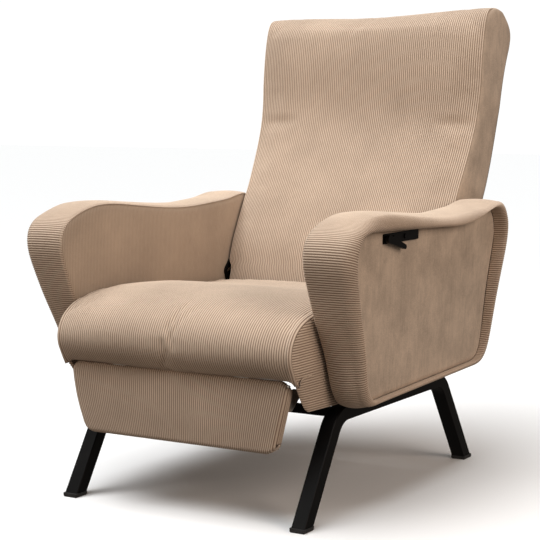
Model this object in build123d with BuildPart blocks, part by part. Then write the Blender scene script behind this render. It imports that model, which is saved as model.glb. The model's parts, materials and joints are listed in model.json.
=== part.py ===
from build123d import *
from math import acos, atan2, cos, degrees, hypot, radians, sin
import os

os.makedirs("parts", exist_ok=True)

# A reclining armchair on two bent tube leg frames.  Millimetres; X across the
# chair (+X is the sitter's left), the front faces -Y, the floor is Z = 0.

# ---------------------------------------------------------------- sizes
seat_width = 540        # over the two seat side boards
front_y = -497          # foremost point of the seat crown
rail_top = 215          # top of the leg rails, which carry everything above

# leg frames
tube = 30
tube_wall = 2
tube_corner = 3
tube_bend = 60          # centreline radius of the bends
front_bend_y = front_y + 190
rail_length = 461       # between the two bends, along Y
rail_inset = 6          # of the tube centres from the outer faces of the seat sides
front_splay = 0.64      # forward travel of the front leg for each unit of drop
rear_splay = 0.675
glide_height = 8
glide_overhang = 1.5
glide_chamfer = 2
crossbar = 18
front_crossbar_y = front_y + 219
rear_crossbar_y = front_y + 614
tab = 4                 # plate of the tabs welded on the rails
tab_width = 30
tab_height = 47
tab_hole_z = rail_top + 30
tab_head = 3
board_skin = 2          # left over the end of each tab screw
tab_y = (front_y + 267, front_y + 557)
screw = 5

# seat
side_board = 8
seat_rear_y = front_y + 622
seat_frame_bottom = rail_top + 73
seat_rail_height = 42
seat_rail_width = 28
seat_front_rail_y = front_y + 57
webbing = 3
strap_width = 50
strap_count = 6
strap_margin = 4        # from a strap end to the edge it is fixed to
seat_strap_pitch = 82
back_strap_pitch = 96
back_strap_start = 80   # up the back frame from the pivot
dust_cloth = 1.6
dust_front = 35         # from the seat frame's front to the cloth
dust_margin = 6
frame_setback = 7       # of the seat frame from the rear of the seat
seat_crown_z = rail_top + 214
seat_edge_z = rail_top + 188
lip_gap = 1             # of the cushion's lower lip above the frame's underside
seat_front_bow = 24     # the front edge is bowed forward by this at the middle

# arms, measured outward from the seat side boards
arm_gap = 5
arm_pad = 8
arm_board = 12
arm_width = 102.5       # from the padded inner face to the outermost rim
arm_taper = 32.5        # how much narrower the arm is at its bottom
arm_rim_bulge = 6
arm_shoulder_z = rail_top + 325   # the rim is upright above this
arm_belly_z = rail_top + 165
arm_hem_z = rail_top - 5
panel_recess = 26.5     # depth of the outer panel behind the rim, at the top
panel_rise = 0.05       # outward lean of the panel for each unit of height
panel_thickness = 8
hoop = 8                # bent plywood hoop that carries band and panel
arm_bolt = 8
arm_bolt_y = (front_y + 247, front_y + 537)
bolt_nut = 6            # height of the nuts on bolts and pins
bolt_tail = 8           # of a bolt past the arm board
bolt_cap = 5            # height of the bolt heads
cleat_ends = (front_y + 207, front_y + 587)
cleat_z = rail_top + 76
cleat_height = 84

# back
pivot_y = front_y + 679
pivot_z = rail_top + 125
back_round = 50         # round lower end of the back, about the pivot
back_lean = 22.8        # of the wooden frame from upright, degrees
stile_outer = 260
stile_width = 24
back_frame_depth = 30
back_frame_length = 640
back_frame_foot = 30
back_rail = 45
back_side_gap = 6       # between back and arm pads below the arm tops
back_spread = 12        # extra half width at the head
spread_start = 265      # up the back frame from the pivot
spread_end = 480
recline = 38            # travel of the back, degrees

# pivots and clamp
pivot_pin = 5
pin_fit = 0.05
side_plate = 4
side_plate_gap = 2.5
pivot_plate = 6
pivot_plate_reach = 62  # forward and up from the pivot
pivot_lobe = 22         # radii of the rounded corners of the plates
clamp_lobe = 18
plate_lobe = 14
slot_lobe = 13
side_plate_reach = 175  # up the stile from the pivot
side_plate_bosses = (128, 168)
side_plate_spare = 8    # room round the side plate in the side of the back
boss = 8
bore_wall = 6
clamp_radius = 70
clamp_angle = 75        # of the clamp bolt about the pivot, from +Y
clamp_bolt = 4
slot_play = 0.2
slot_spare = 0.4        # extra travel of the slot at either end, degrees
bolt_head = 9
thin_nut = 4

# footrest and its push rods
footrest_ratio = 70 / 38
hinge_y = front_y + 54
hinge_z = rail_top + 56
hinge_pin = 3
hinge_pin_half = 244
knuckle = 7
knuckle_gap = 0.3
hinge_centre_x = 140
hinge_length = 60
hinge_leaf = 3
footrest_top_half = 253
footrest_foot_half = 218
footrest_shift = -4     # the footrest hangs a little to the sitter's right
footrest_drop = 131     # from the hinge axis to the lower edge
footrest_pad = 15
footrest_board = 12
footrest_back = 8
footrest_nose = 10      # round top of the pad, about the hinge
footrest_corner = 20
board_inset = 8         # of the footrest board inside its cover
back_inset = 6          # of the rear cover inside the edge of the pad
back_top = 18           # of the rear cover below the hinge axis
lug_foot = 24           # plate of each lug on the footrest board
lug_foot_height = 40
lug_foot_drop = 30      # of its middle below the hinge axis
lug_corner = 4
lug_room = 2            # room round the lug foot in the rear cover
leaf_tail = 43          # reach of a hinge leaf down the footrest board, below the knuckle
crank_radius = 78
crank_lobe = 12
crank_angle = -71
lug_radius = 48
lug_angle = -29
link_plate = 4
link_gap = 0.3
link_pin = 4
link_head = 3
rod_thickness = 5.7
rod_width = 12
rod_eye = 10
open_eye = 13
open_eye_clearance = 3  # the one pivot of the loop that is left loose
open_eye_shift = (2.0, -1.7)

# hand lever on the left arm
lever_y = front_y + 231
lever_z = rail_top + 318
lever_arm = 40
lever_arm_angle = -125  # of both swinging arms, from +Y; it keeps them off the rear wall
lever_shaft = 5
lever_plate_length = 149
lever_plate_height = 19
lever_plate_rise = 3    # of the plate's middle above the lever axis
lever_plate_front = 12  # of the plate in front of the lever axis
lever_screw_reach = (29, 78)
lever_screw_head = 2
lever_lobe = 8
link_eye = 7            # radius of the round ends of the release linkage
pull_rod_half = 4
clamp_eye = 11
lever_plate_thickness = 3
lever_finger = 7
lever_tip = (61, -16)
lever_tip_radius = 4.5
lever_setout = 5        # of the inner arms from the arm board
lever_arm_thickness = 6
pull_rod_gap = 0.5
pin_tail = 2            # of the swing pins past the pull rod
rod_pin = 3
pull_rod_thickness = 4

# ---------------------------------------------------------------- derived sizes
seat_half = seat_width / 2
board_inner = seat_half - side_board
rail_x = seat_half - rail_inset         # centre of each leg tube
rail_z = rail_top - tube / 2
rear_bend_y = front_bend_y + rail_length
pad_face = seat_half + arm_gap
board_face = pad_face + arm_pad
board_back = board_face + arm_board
rim_x = pad_face + arm_width
arm_top = rail_top + 372
panel_top_x = rim_x - panel_recess
pivot = (pivot_y, pivot_z)
hinge = (hinge_y, hinge_z)
seat_frame_top = seat_frame_bottom + seat_rail_height
plate_outer = pad_face - side_plate_gap
plate_inner = plate_outer - side_plate
pivot_plate_inner = board_face - pivot_plate
lever = (lever_y, lever_z)
crank_x = stile_outer - stile_width     # outer face of the cranks and lugs
rod_outer = crank_x - link_plate - link_gap
rod_inner = rod_outer - rod_thickness
lever_arm_x = board_back + lever_setout
pull_rod_x = lever_arm_x + lever_arm_thickness + pull_rod_gap

SIDES = (("left", 1), ("right", -1))


# ---------------------------------------------------------------- helpers
def polar(centre, radius, angle):
    """The point at a radius and an angle from +Y toward +Z."""
    return (centre[0] + radius * cos(radians(angle)), centre[1] + radius * sin(radians(angle)))


def side_plane(sign, near, far):
    """The YZ plane on the low-x face of a slab between two distances from the middle."""
    return Plane.YZ.offset(near if sign > 0 else -far)


def tangent_point(centre, radius, point, turn):
    """Where the line from a point touches a circle; turn picks one of the two."""
    reach = hypot(point[0] - centre[0], point[1] - centre[1])
    towards = degrees(atan2(point[1] - centre[1], point[0] - centre[0]))
    return polar(centre, radius, towards + turn * degrees(acos(radius / reach)))


def disc(centre, radius, mode=Mode.ADD):
    """A circle at a (y, z) point of the current sketch."""
    with Locations(centre):
        Circle(radius, mode=mode)


def hull_of(*discs):
    """A plate outline stretched round several (centre, radius) discs."""
    for centre, radius in discs:
        disc(centre, radius)
    make_hull()


def finish(piece, label):
    """Name a finished piece and write it under that name."""
    piece.part.label = label
    export_step(piece.part, f"parts/{label}.step")


clamp = polar(pivot, clamp_radius, clamp_angle)
stile_direction = (sin(radians(back_lean)), cos(radians(back_lean)))
crank_end = polar(pivot, crank_radius, crank_angle)
lug_end = polar(hinge, lug_radius, lug_angle)
frame_plane = Plane(
    origin=(0, pivot_y, pivot_z),
    x_dir=(1, 0, 0),
    z_dir=(0, -cos(radians(back_lean)), sin(radians(back_lean))),
)


def along_stile(distance):
    """The (y, z) point that far up the back frame from the pivot."""
    return (pivot_y + distance * stile_direction[0], pivot_z + distance * stile_direction[1])


# ---------------------------------------------------------------- leg frames
def leg_path():
    """Centreline of one leg frame, run on below the floor so that it can be cut flat."""
    drop = rail_z + tube
    foot_front = (front_bend_y - front_splay * drop, -tube)
    foot_rear = (rear_bend_y + rear_splay * drop, -tube)
    corners = [foot_front, (front_bend_y, rail_z), (rear_bend_y, rail_z), foot_rear]
    return FilletPolyline(*corners, radius=tube_bend)


def tube_solid(sign, width, corner, mode):
    """The leg centreline swept with a square section."""
    with BuildLine(Plane.YZ.offset(sign * rail_x)) as path:
        leg_path()
    start = Plane(origin=path.line @ 0, x_dir=(1, 0, 0), z_dir=path.line % 0)
    with BuildSketch(start) as section:
        RectangleRounded(width, width, corner)
    sweep(section.sketch, path=path.line, mode=mode)


for name, sign in SIDES:
    with BuildPart() as leg_frame:
        tube_solid(sign, tube, tube_corner, Mode.ADD)
        tube_solid(sign, tube - 2 * tube_wall, tube_corner - tube_wall, Mode.SUBTRACT)
        split(bisect_by=Plane.XY.offset(glide_height), keep=Keep.TOP)
        for y in tab_y:
            with BuildSketch(Plane.XZ.offset(-y - tab_width / 2)):
                foot_x = board_inner - (rail_x - tube / 2)
                with Locations((sign * (board_inner - foot_x / 2), rail_top + tab / 2)):
                    Rectangle(foot_x, tab)
                with Locations((sign * (board_inner - tab / 2), rail_top + tab_height / 2)):
                    Rectangle(tab, tab_height)
            extrude(amount=tab_width)
            with BuildSketch(side_plane(sign, board_inner - tab, board_inner)):
                disc((y, tab_hole_z), screw / 2)
            extrude(amount=tab, mode=Mode.SUBTRACT)
    finish(leg_frame, f"leg_frame_{name}")

for name, y in (("front", front_crossbar_y), ("rear", rear_crossbar_y)):
    with BuildPart() as bar:
        with BuildSketch(Plane.YZ.offset(-(rail_x - tube / 2))):
            with Locations((y, rail_z - crossbar / 6)):
                RectangleRounded(crossbar, crossbar, tube_corner)
                RectangleRounded(
                    crossbar - 2 * tube_wall,
                    crossbar - 2 * tube_wall,
                    tube_corner - tube_wall,
                    mode=Mode.SUBTRACT,
                )
        extrude(amount=2 * rail_x - tube)
    finish(bar, f"crossbar_{name}")

leg_drop = rail_z - glide_height / 2
glide_y = {
    "front": front_bend_y - front_splay * leg_drop,
    "rear": rear_bend_y + rear_splay * leg_drop,
}
for name, sign in SIDES:
    for end, splay in (("front", front_splay), ("rear", rear_splay)):
        with BuildPart() as glide:
            with BuildSketch():
                with Locations((sign * rail_x, glide_y[end])):
                    length = tube * hypot(1, splay) + 2 * glide_overhang
                    RectangleRounded(tube + 2 * glide_overhang, length, tube_corner)
            extrude(amount=glide_height)
            chamfer(glide.faces().sort_by(Axis.Z)[0].edges(), glide_chamfer)
        finish(glide, f"foot_glide_{end}_{name}")

with BuildPart() as tab_screws:
    for name, sign in SIDES:
        head_x = board_inner - tab - tab_head
        with BuildSketch(side_plane(sign, board_inner - tab, seat_half - board_skin)):
            for y in tab_y:
                disc((y, tab_hole_z), screw / 2)
        extrude(amount=tab + side_board - board_skin)
        with BuildSketch(side_plane(sign, head_x, board_inner - tab)):
            for y in tab_y:
                disc((y, tab_hole_z), screw)
        extrude(amount=tab_head)
finish(tab_screws, "tab_screws")


# ---------------------------------------------------------------- seat
def seat_nose():
    """Outline of the seat's side: rolled front, bottom on the rail, sloping top."""
    rear_top = (seat_rear_y, rail_top + 168)
    nose = [
        (front_y + 247, rail_top + 190),
        (front_y + 92, rail_top + 180),
        (front_y + 37, rail_top + 155),
        (front_y + 19, rail_top + 109),
        (front_y + 30, rail_top + 83),
        (front_y + 49, rail_top + 55),
        (front_y + 72, rail_top + 27),
        (front_y + 88, rail_top + 9),
    ]
    toe = (front_y + 108, rail_top)
    Spline(rear_top, *nose, toe)
    Line(toe, (seat_rear_y, rail_top))
    Line((seat_rear_y, rail_top), rear_top)


for name, sign in SIDES:
    with BuildPart() as seat_side:
        with BuildSketch(side_plane(sign, board_inner, seat_half)):
            with BuildLine():
                seat_nose()
            make_face()
            for y in tab_y:
                disc((y, tab_hole_z), screw / 2, Mode.SUBTRACT)
            for y in arm_bolt_y:
                disc((y, seat_frame_bottom + seat_rail_height / 2), arm_bolt / 2, Mode.SUBTRACT)
        extrude(amount=side_board)
        with BuildSketch(side_plane(sign, seat_half - board_skin, seat_half)):
            for y in tab_y:
                disc((y, tab_hole_z), screw / 2)
        extrude(amount=board_skin)
    finish(seat_side, f"seat_side_{name}")

frame_depth = seat_rear_y - frame_setback - seat_front_rail_y
with BuildPart() as seat_frame:
    with BuildSketch(Plane.XY.offset(seat_frame_bottom)):
        with Locations((0, seat_front_rail_y + frame_depth / 2)):
            Rectangle(2 * board_inner, frame_depth)
            Rectangle(
                2 * (board_inner - seat_rail_width),
                frame_depth - 2 * seat_rail_width,
                mode=Mode.SUBTRACT,
            )
    extrude(amount=seat_rail_height)
    for name, sign in SIDES:
        with BuildSketch(side_plane(sign, board_inner - seat_rail_width, board_inner)):
            for y in arm_bolt_y:
                disc((y, seat_frame_bottom + seat_rail_height / 2), arm_bolt / 2)
        extrude(amount=seat_rail_width, mode=Mode.SUBTRACT)
finish(seat_frame, "seat_frame")

with BuildPart() as seat_webbing:
    with BuildSketch(Plane.XY.offset(seat_frame_top)):
        with GridLocations(1, seat_strap_pitch, 1, strap_count):
            with Locations((0, seat_front_rail_y + frame_depth / 2)):
                Rectangle(2 * (board_inner - strap_margin), strap_width)
    extrude(amount=webbing)
finish(seat_webbing, "seat_webbing")

with BuildPart() as dust_cover:
    with BuildSketch(Plane.XY.offset(seat_frame_bottom - dust_cloth)):
        with Locations((0, seat_front_rail_y + (frame_depth + dust_front) / 2)):
            Rectangle(2 * (board_inner - dust_margin), frame_depth - dust_front)
    extrude(amount=dust_cloth)
finish(dust_cover, "seat_dust_cover")

cushion_bottom = seat_frame_top + webbing
with BuildPart() as seat_cushion:
    with BuildSketch(Plane.YZ.offset(-board_inner)):
        with BuildLine():
            rear_top = (seat_rear_y, rail_top + 180)
            lip = (hinge_y - knuckle, seat_frame_bottom + lip_gap)
            Spline(
                rear_top,
                (front_y + 347, seat_crown_z),
                (front_y + 92, seat_crown_z - 4),
                (front_y + 25, rail_top + 179),
                (front_y, rail_top + 140),
                (front_y + 14, rail_top + 95),
                lip,
            )
            rail_foot = (seat_front_rail_y, seat_frame_bottom + lip_gap)
            rail_head = (seat_front_rail_y, cushion_bottom)
            Polyline(lip, rail_foot, rail_head, (seat_rear_y, cushion_bottom), rear_top)
        make_face()
    extrude(amount=2 * board_inner)
    with BuildSketch(Plane.XZ.offset(-seat_rear_y)):
        with BuildLine():
            ThreePointArc(
                (-board_inner, seat_edge_z), (0, seat_crown_z), (board_inner, seat_edge_z)
            )
            Polyline(
                (board_inner, seat_edge_z),
                (board_inner, rail_top),
                (-board_inner, rail_top),
                (-board_inner, seat_edge_z),
            )
        make_face()
    extrude(amount=seat_rear_y - front_y + tube, mode=Mode.INTERSECT)
    with BuildSketch(Plane.XY.offset(rail_top)):
        with BuildLine():
            ThreePointArc(
                (-board_inner, front_y + seat_front_bow),
                (0, front_y),
                (board_inner, front_y + seat_front_bow),
            )
            Polyline(
                (board_inner, front_y + seat_front_bow),
                (board_inner, seat_rear_y),
                (-board_inner, seat_rear_y),
                (-board_inner, front_y + seat_front_bow),
            )
        make_face()
    extrude(amount=2 * (seat_crown_z - rail_top), mode=Mode.INTERSECT)
finish(seat_cushion, "seat_cushion")


# ---------------------------------------------------------------- arms
def loop_with_flat_foot(points):
    """A smooth run through the points, closed by a straight line along the bottom."""
    Spline(*points)
    Line(points[-1], points[0])


ARM = [
    (front_y + 215, rail_top + 4),
    (front_y + 178, rail_top + 9),
    (front_y + 159, rail_top + 28),
    (front_y + 132, rail_top + 92),
    (front_y + 86, rail_top + 179),
    (front_y + 56, rail_top + 246),
    (front_y + 42, rail_top + 299),
    (front_y + 52, rail_top + 328),
    (front_y + 93, rail_top + 353),
    (front_y + 140, rail_top + 366),
    (front_y + 273, rail_top + 365),
    (front_y + 524, rail_top + 349),
    (front_y + 604, rail_top + 353),
    (front_y + 700, rail_top + 363),
    (front_y + 744, rail_top + 366),
    (front_y + 772, rail_top + 330),
    (front_y + 766, rail_top + 245),
    (front_y + 744, rail_top + 165),
    (front_y + 733, rail_top + 80),
    (front_y + 722, rail_top + 36),
    (front_y + 690, rail_top + 16),
]

RECESS = [
    (front_y + 232, rail_top + 14),
    (front_y + 195, rail_top + 19),
    (front_y + 172, rail_top + 42),
    (front_y + 148, rail_top + 97),
    (front_y + 116, rail_top + 179),
    (front_y + 88, rail_top + 248),
    (front_y + 80, rail_top + 300),
    (front_y + 96, rail_top + 331),
    (front_y + 140, rail_top + 339),
    (front_y + 235, rail_top + 336),
    (front_y + 330, rail_top + 333),
    (front_y + 471, rail_top + 328),
    (front_y + 624, rail_top + 338),
    (front_y + 735, rail_top + 346),
    (front_y + 754, rail_top + 318),
    (front_y + 748, rail_top + 242),
    (front_y + 729, rail_top + 155),
    (front_y + 718, rail_top + 80),
    (front_y + 706, rail_top + 42),
    (front_y + 672, rail_top + 26),
]


def recess_outline(inset=0.0):
    """Edge of the sunk outer panel, each point moved inward along its own normal."""
    moved = []
    for index, (y, z) in enumerate(RECESS):
        before = RECESS[index - 1]
        after = RECESS[(index + 1) % len(RECESS)]
        run = (after[0] - before[0], after[1] - before[1])
        reach = inset / hypot(*run)
        moved.append((y + run[1] * reach, z - run[0] * reach))
    loop_with_flat_foot(moved)


def panel_x(z, depth=0):
    """Distance of the outer panel's face from the middle at a height."""
    return panel_top_x - panel_rise * (arm_top - z) - depth


def lean_slab(sign, inner, outer):
    """Cut the piece to the part between two leaning side faces, given as x at a height."""
    low = rail_top - tube
    high = arm_top + tube
    with BuildSketch(Plane.XZ.offset(-(pivot_y + 2 * tube_bend))) as slab:
        with BuildLine():
            corners = [(inner(low), low), (outer(low), low), (outer(high), high)]
            corners += [(inner(high), high), corners[0]]
            Polyline(*[(sign * x, z) for x, z in corners])
        make_face()
    extrude(slab.sketch, amount=pivot_y - front_y + 4 * tube_bend, mode=Mode.INTERSECT)


def pivot_plate_outline(spare=0.0):
    """Plate that joins pivot pin, clamp bolt and the arm board."""
    hull_of(
        (pivot, pivot_lobe + spare),
        (clamp, clamp_lobe + spare),
        ((pivot_y - pivot_plate_reach, pivot_z + pivot_plate_reach), plate_lobe + spare),
        ((pivot_y - pivot_plate_reach, pivot_z - pivot_lobe), plate_lobe + spare),
    )


def cleat_outline():
    """Wooden cleat between the seat side and the arm board."""
    with Locations(((cleat_ends[0] + cleat_ends[1]) / 2, cleat_z)):
        Rectangle(cleat_ends[1] - cleat_ends[0], cleat_height)


def bare_board():
    """Where the arm board is left bare for the cleat, the pivot plate and its swing."""
    rear_end = pivot_y + 4 * back_round
    top = cleat_z + cleat_height / 2 + 2
    with Locations(((cleat_ends[0] - 2 + rear_end) / 2, top - cleat_height)):
        Rectangle(rear_end - cleat_ends[0] + 2, 2 * cleat_height)
    with Locations((rear_end - 3.5 * back_round, clamp[1])):
        Rectangle(back_round * 3, 2 * (clamp[1] - top))
    pivot_plate_outline(spare=2)


arm_bolt_z = seat_frame_bottom + seat_rail_height / 2
for name, sign in SIDES:
    with BuildPart() as arm_band:
        with BuildSketch(side_plane(sign, pad_face, rim_x)):
            with BuildLine():
                loop_with_flat_foot(ARM)
            make_face()
            with BuildLine():
                recess_outline()
            make_face(mode=Mode.SUBTRACT)
        extrude(amount=arm_width)
        with BuildSketch(Plane.XZ.offset(-(pivot_y + 2 * tube_bend))):
            with BuildLine():
                shoulder = (sign * rim_x, arm_shoulder_z)
                hem = (sign * (rim_x - arm_taper), arm_hem_z)
                belly_x = rim_x - arm_taper / 2 + arm_rim_bulge
                ThreePointArc(shoulder, (sign * belly_x, arm_belly_z), hem)
                Polyline(
                    hem,
                    (sign * pad_face, arm_hem_z),
                    (sign * pad_face, arm_top + tube),
                    (sign * rim_x, arm_top + tube),
                    shoulder,
                )
            make_face()
        extrude(amount=pivot_y - front_y + 4 * tube_bend, mode=Mode.INTERSECT)
    finish(arm_band, f"arm_band_{name}")

    with BuildPart() as arm_inner_pad:
        with BuildSketch(side_plane(sign, pad_face, board_face)):
            with BuildLine():
                recess_outline()
            make_face()
            with BuildSketch(mode=Mode.PRIVATE) as bare:
                bare_board()
            add(bare.sketch, mode=Mode.SUBTRACT)
        extrude(amount=arm_pad)
    finish(arm_inner_pad, f"arm_inner_pad_{name}")

    with BuildPart() as arm_board_part:
        with BuildSketch(side_plane(sign, board_face, board_back)):
            with BuildLine():
                recess_outline()
            make_face()
            disc(pivot, pivot_pin, Mode.SUBTRACT)
            disc(clamp, clamp_bolt, Mode.SUBTRACT)
            for y in arm_bolt_y:
                disc((y, arm_bolt_z), arm_bolt / 2, Mode.SUBTRACT)
        extrude(amount=arm_board)
    finish(arm_board_part, f"arm_board_{name}")

    with BuildPart() as arm_hoop:
        with BuildSketch(side_plane(sign, board_back, rim_x)):
            with BuildLine():
                recess_outline()
            make_face()
            with BuildSketch(mode=Mode.PRIVATE) as hollow:
                with BuildLine():
                    recess_outline(inset=hoop)
                make_face()
            add(hollow.sketch, mode=Mode.SUBTRACT)
        extrude(amount=rim_x - board_back)
        lean_slab(sign, lambda z: board_back, lambda z: panel_x(z, panel_thickness))
    finish(arm_hoop, f"arm_hoop_{name}")

    with BuildPart() as arm_outer_panel:
        with BuildSketch(side_plane(sign, board_back, rim_x)):
            with BuildLine():
                recess_outline()
            make_face()
            if sign > 0:
                disc(lever, lever_shaft + 3 * pin_fit, Mode.SUBTRACT)
        extrude(amount=rim_x - board_back)
        lean_slab(sign, lambda z: panel_x(z, panel_thickness), panel_x)
    finish(arm_outer_panel, f"arm_outer_panel_{name}")

    with BuildPart() as arm_cleat:
        with BuildSketch(side_plane(sign, seat_half, board_face)):
            cleat_outline()
            for y in arm_bolt_y:
                disc((y, arm_bolt_z), arm_bolt / 2, Mode.SUBTRACT)
        extrude(amount=board_face - seat_half)
    finish(arm_cleat, f"arm_cleat_{name}")

    bolt_start = board_inner - seat_rail_width
    with BuildPart() as arm_bolts:
        with BuildSketch(side_plane(sign, bolt_start, board_back + bolt_tail)):
            for y in arm_bolt_y:
                disc((y, arm_bolt_z), arm_bolt / 2)
        extrude(amount=board_back + bolt_tail - bolt_start)
        for near, far in ((bolt_start - bolt_cap, bolt_start), (board_back, board_back + bolt_nut)):
            with BuildSketch(side_plane(sign, near, far)):
                for y in arm_bolt_y:
                    with Locations((y, arm_bolt_z)):
                        RegularPolygon(arm_bolt * 0.8, 6)
            extrude(amount=far - near)
    finish(arm_bolts, f"arm_bolts_{name}")

    with BuildPart() as pivot_plate_part:
        with BuildSketch(side_plane(sign, pivot_plate_inner, board_face)):
            pivot_plate_outline()
            disc(pivot, pivot_pin, Mode.SUBTRACT)
            disc(clamp, clamp_bolt, Mode.SUBTRACT)
        extrude(amount=pivot_plate)
        with BuildSketch(side_plane(sign, plate_outer + pin_fit, pivot_plate_inner)):
            for centre, bore in ((pivot, pivot_pin), (clamp, clamp_bolt)):
                disc(centre, bore + bore_wall)
                disc(centre, bore, Mode.SUBTRACT)
        extrude(amount=pivot_plate_inner - plate_outer - pin_fit)
    finish(pivot_plate_part, f"pivot_plate_{name}")


# ---------------------------------------------------------------- pivots of the back
def shouldered_pin(sign, centre, radius, tail):
    """A round pin with a flat head inside the side plate and a nut outside the arm board."""
    head_end = plate_inner - link_gap
    with BuildSketch(side_plane(sign, head_end, tail)) as shank:
        disc(centre, radius)
    extrude(shank.sketch, amount=tail - head_end)
    with BuildSketch(side_plane(sign, head_end - bolt_cap, head_end)) as head:
        disc(centre, bolt_head)
    extrude(head.sketch, amount=bolt_cap)
    with BuildSketch(side_plane(sign, board_back, board_back + thin_nut)) as nut:
        with Locations(centre):
            RegularPolygon(radius + thin_nut, 6)
    extrude(nut.sketch, amount=thin_nut)


for name, sign in SIDES:
    with BuildPart() as pivot_pin_part:
        shouldered_pin(sign, pivot, pivot_pin, board_back + bolt_nut)
    finish(pivot_pin_part, f"pivot_pin_{name}")

for label, sign, tail in (
    ("clamp_bolt", 1, lever_arm_x + lever_arm_thickness),
    ("stop_bolt", -1, board_back + bolt_nut),
):
    with BuildPart() as bolt:
        shouldered_pin(sign, clamp, clamp_bolt, tail)
    finish(bolt, label)


# ---------------------------------------------------------------- back
crest = (front_y + 892, rail_top + 784)
front_waist = (front_y + 665, rail_top + 247)
rear_waist = (front_y + 877, rail_top + 371)


def back_outline():
    """Side view of the back: round foot about the pivot, bent front face, rolled head."""
    front_touch = tangent_point(pivot, back_round, front_waist, 1)
    rear_touch = tangent_point(pivot, back_round, rear_waist, -1)
    Spline(
        front_waist,
        (front_y + 705, rail_top + 325),
        (front_y + 776, rail_top + 450),
        (front_y + 817, rail_top + 548),
        (front_y + 831, rail_top + 658),
        (front_y + 845, rail_top + 735),
        (front_y + 862, rail_top + 772),
        crest,
        (front_y + 964, rail_top + 760),
        (front_y + 993, rail_top + 728),
        (front_y + 978, rail_top + 685),
        (front_y + 938, rail_top + 575),
        (front_y + 908, rail_top + 460),
        rear_waist,
    )
    Line(rear_waist, rear_touch)
    ThreePointArc(rear_touch, (pivot_y, pivot_z - back_round), front_touch)
    Line(front_touch, front_waist)


def side_plate_outline(spare=0.0):
    """Plate on each side of the back: a fan for the slot and an arm up the stile."""
    hull_of(
        (pivot, clamp_lobe + spare),
        (clamp, slot_lobe + spare),
        (polar(pivot, clamp_radius, clamp_angle + recline), slot_lobe + spare),
        (along_stile(side_plate_reach), plate_lobe + spare),
    )


def back_block():
    """The whole outline of the back, as wide as its cover."""
    lower_half = pad_face - back_side_gap
    upper_half = lower_half + back_spread
    with BuildSketch(Plane.YZ.offset(-upper_half)) as side_view:
        with BuildLine():
            back_outline()
        make_face()
    extrude(side_view.sketch, amount=2 * upper_half)
    with BuildSketch(frame_plane.offset(-tube_bend * 4)) as front_view:
        with BuildLine():
            right = [
                (lower_half, -2 * back_round),
                (lower_half, spread_start),
                (upper_half, spread_end),
                (upper_half, 2 * spread_end),
            ]
            left = [(-x, y) for x, y in reversed(right)]
            Polyline(*right, *left, right[0])
        make_face()
    extrude(front_view.sketch, amount=tube_bend * 8, mode=Mode.INTERSECT)
    for _, sign in SIDES:
        with BuildSketch(side_plane(sign, stile_outer, upper_half)) as pocket:
            side_plate_outline(spare=side_plate_spare)
        extrude(pocket.sketch, amount=upper_half - stile_outer, mode=Mode.SUBTRACT)


def crank_outline():
    """Crank that hangs from the stile and drives the push rod."""
    hull_of((along_stile(back_frame_foot), crank_lobe), (crank_end, rod_eye))


def back_frame_body(mode=Mode.ADD):
    """Two stiles and three rails of the wooden back frame."""
    window_half = stile_outer - stile_width
    low = back_rail - back_frame_foot
    high = back_frame_length - back_rail
    middle = (low + high) / 2
    with BuildSketch(frame_plane.offset(-back_frame_depth / 2)) as frame_face:
        with Locations((0, (back_frame_length - back_frame_foot) / 2)):
            Rectangle(2 * stile_outer, back_frame_length + back_frame_foot)
        for start, end in ((low, middle - back_rail / 2), (middle + back_rail / 2, high)):
            with Locations((0, (start + end) / 2)):
                Rectangle(2 * window_half, end - start, mode=Mode.SUBTRACT)
    extrude(frame_face.sketch, amount=back_frame_depth, mode=mode)


def back_straps(mode=Mode.ADD):
    """Elastic straps across the front of the back frame."""
    with BuildSketch(frame_plane.offset(back_frame_depth / 2)) as straps:
        for step in range(strap_count):
            with Locations((0, back_strap_start + back_strap_pitch * step)):
                Rectangle(2 * (stile_outer - strap_margin), strap_width)
    extrude(straps.sketch, amount=webbing, mode=mode)


def cranks(mode=Mode.ADD):
    """Both crank plates, against the inner faces of the stiles."""
    for _, sign in SIDES:
        with BuildSketch(side_plane(sign, crank_x - link_plate, crank_x)) as blade:
            crank_outline()
        extrude(blade.sketch, amount=link_plate, mode=mode)


with BuildPart() as back_frame:
    back_frame_body()
    cranks(Mode.SUBTRACT)
finish(back_frame, "back_frame")

with BuildPart() as back_webbing:
    back_straps()
finish(back_webbing, "back_webbing")

frame_rear = frame_plane.offset(-back_frame_depth / 2)
with BuildPart() as back_cushion:
    back_block()
    split(bisect_by=frame_rear, keep=Keep.TOP)
    back_frame_body(Mode.SUBTRACT)
    back_straps(Mode.SUBTRACT)
    cranks(Mode.SUBTRACT)
finish(back_cushion, "back_cushion")

with BuildPart() as back_rear_panel:
    back_block()
    split(bisect_by=frame_rear, keep=Keep.BOTTOM)
    cranks(Mode.SUBTRACT)
finish(back_rear_panel, "back_rear_panel")

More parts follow.
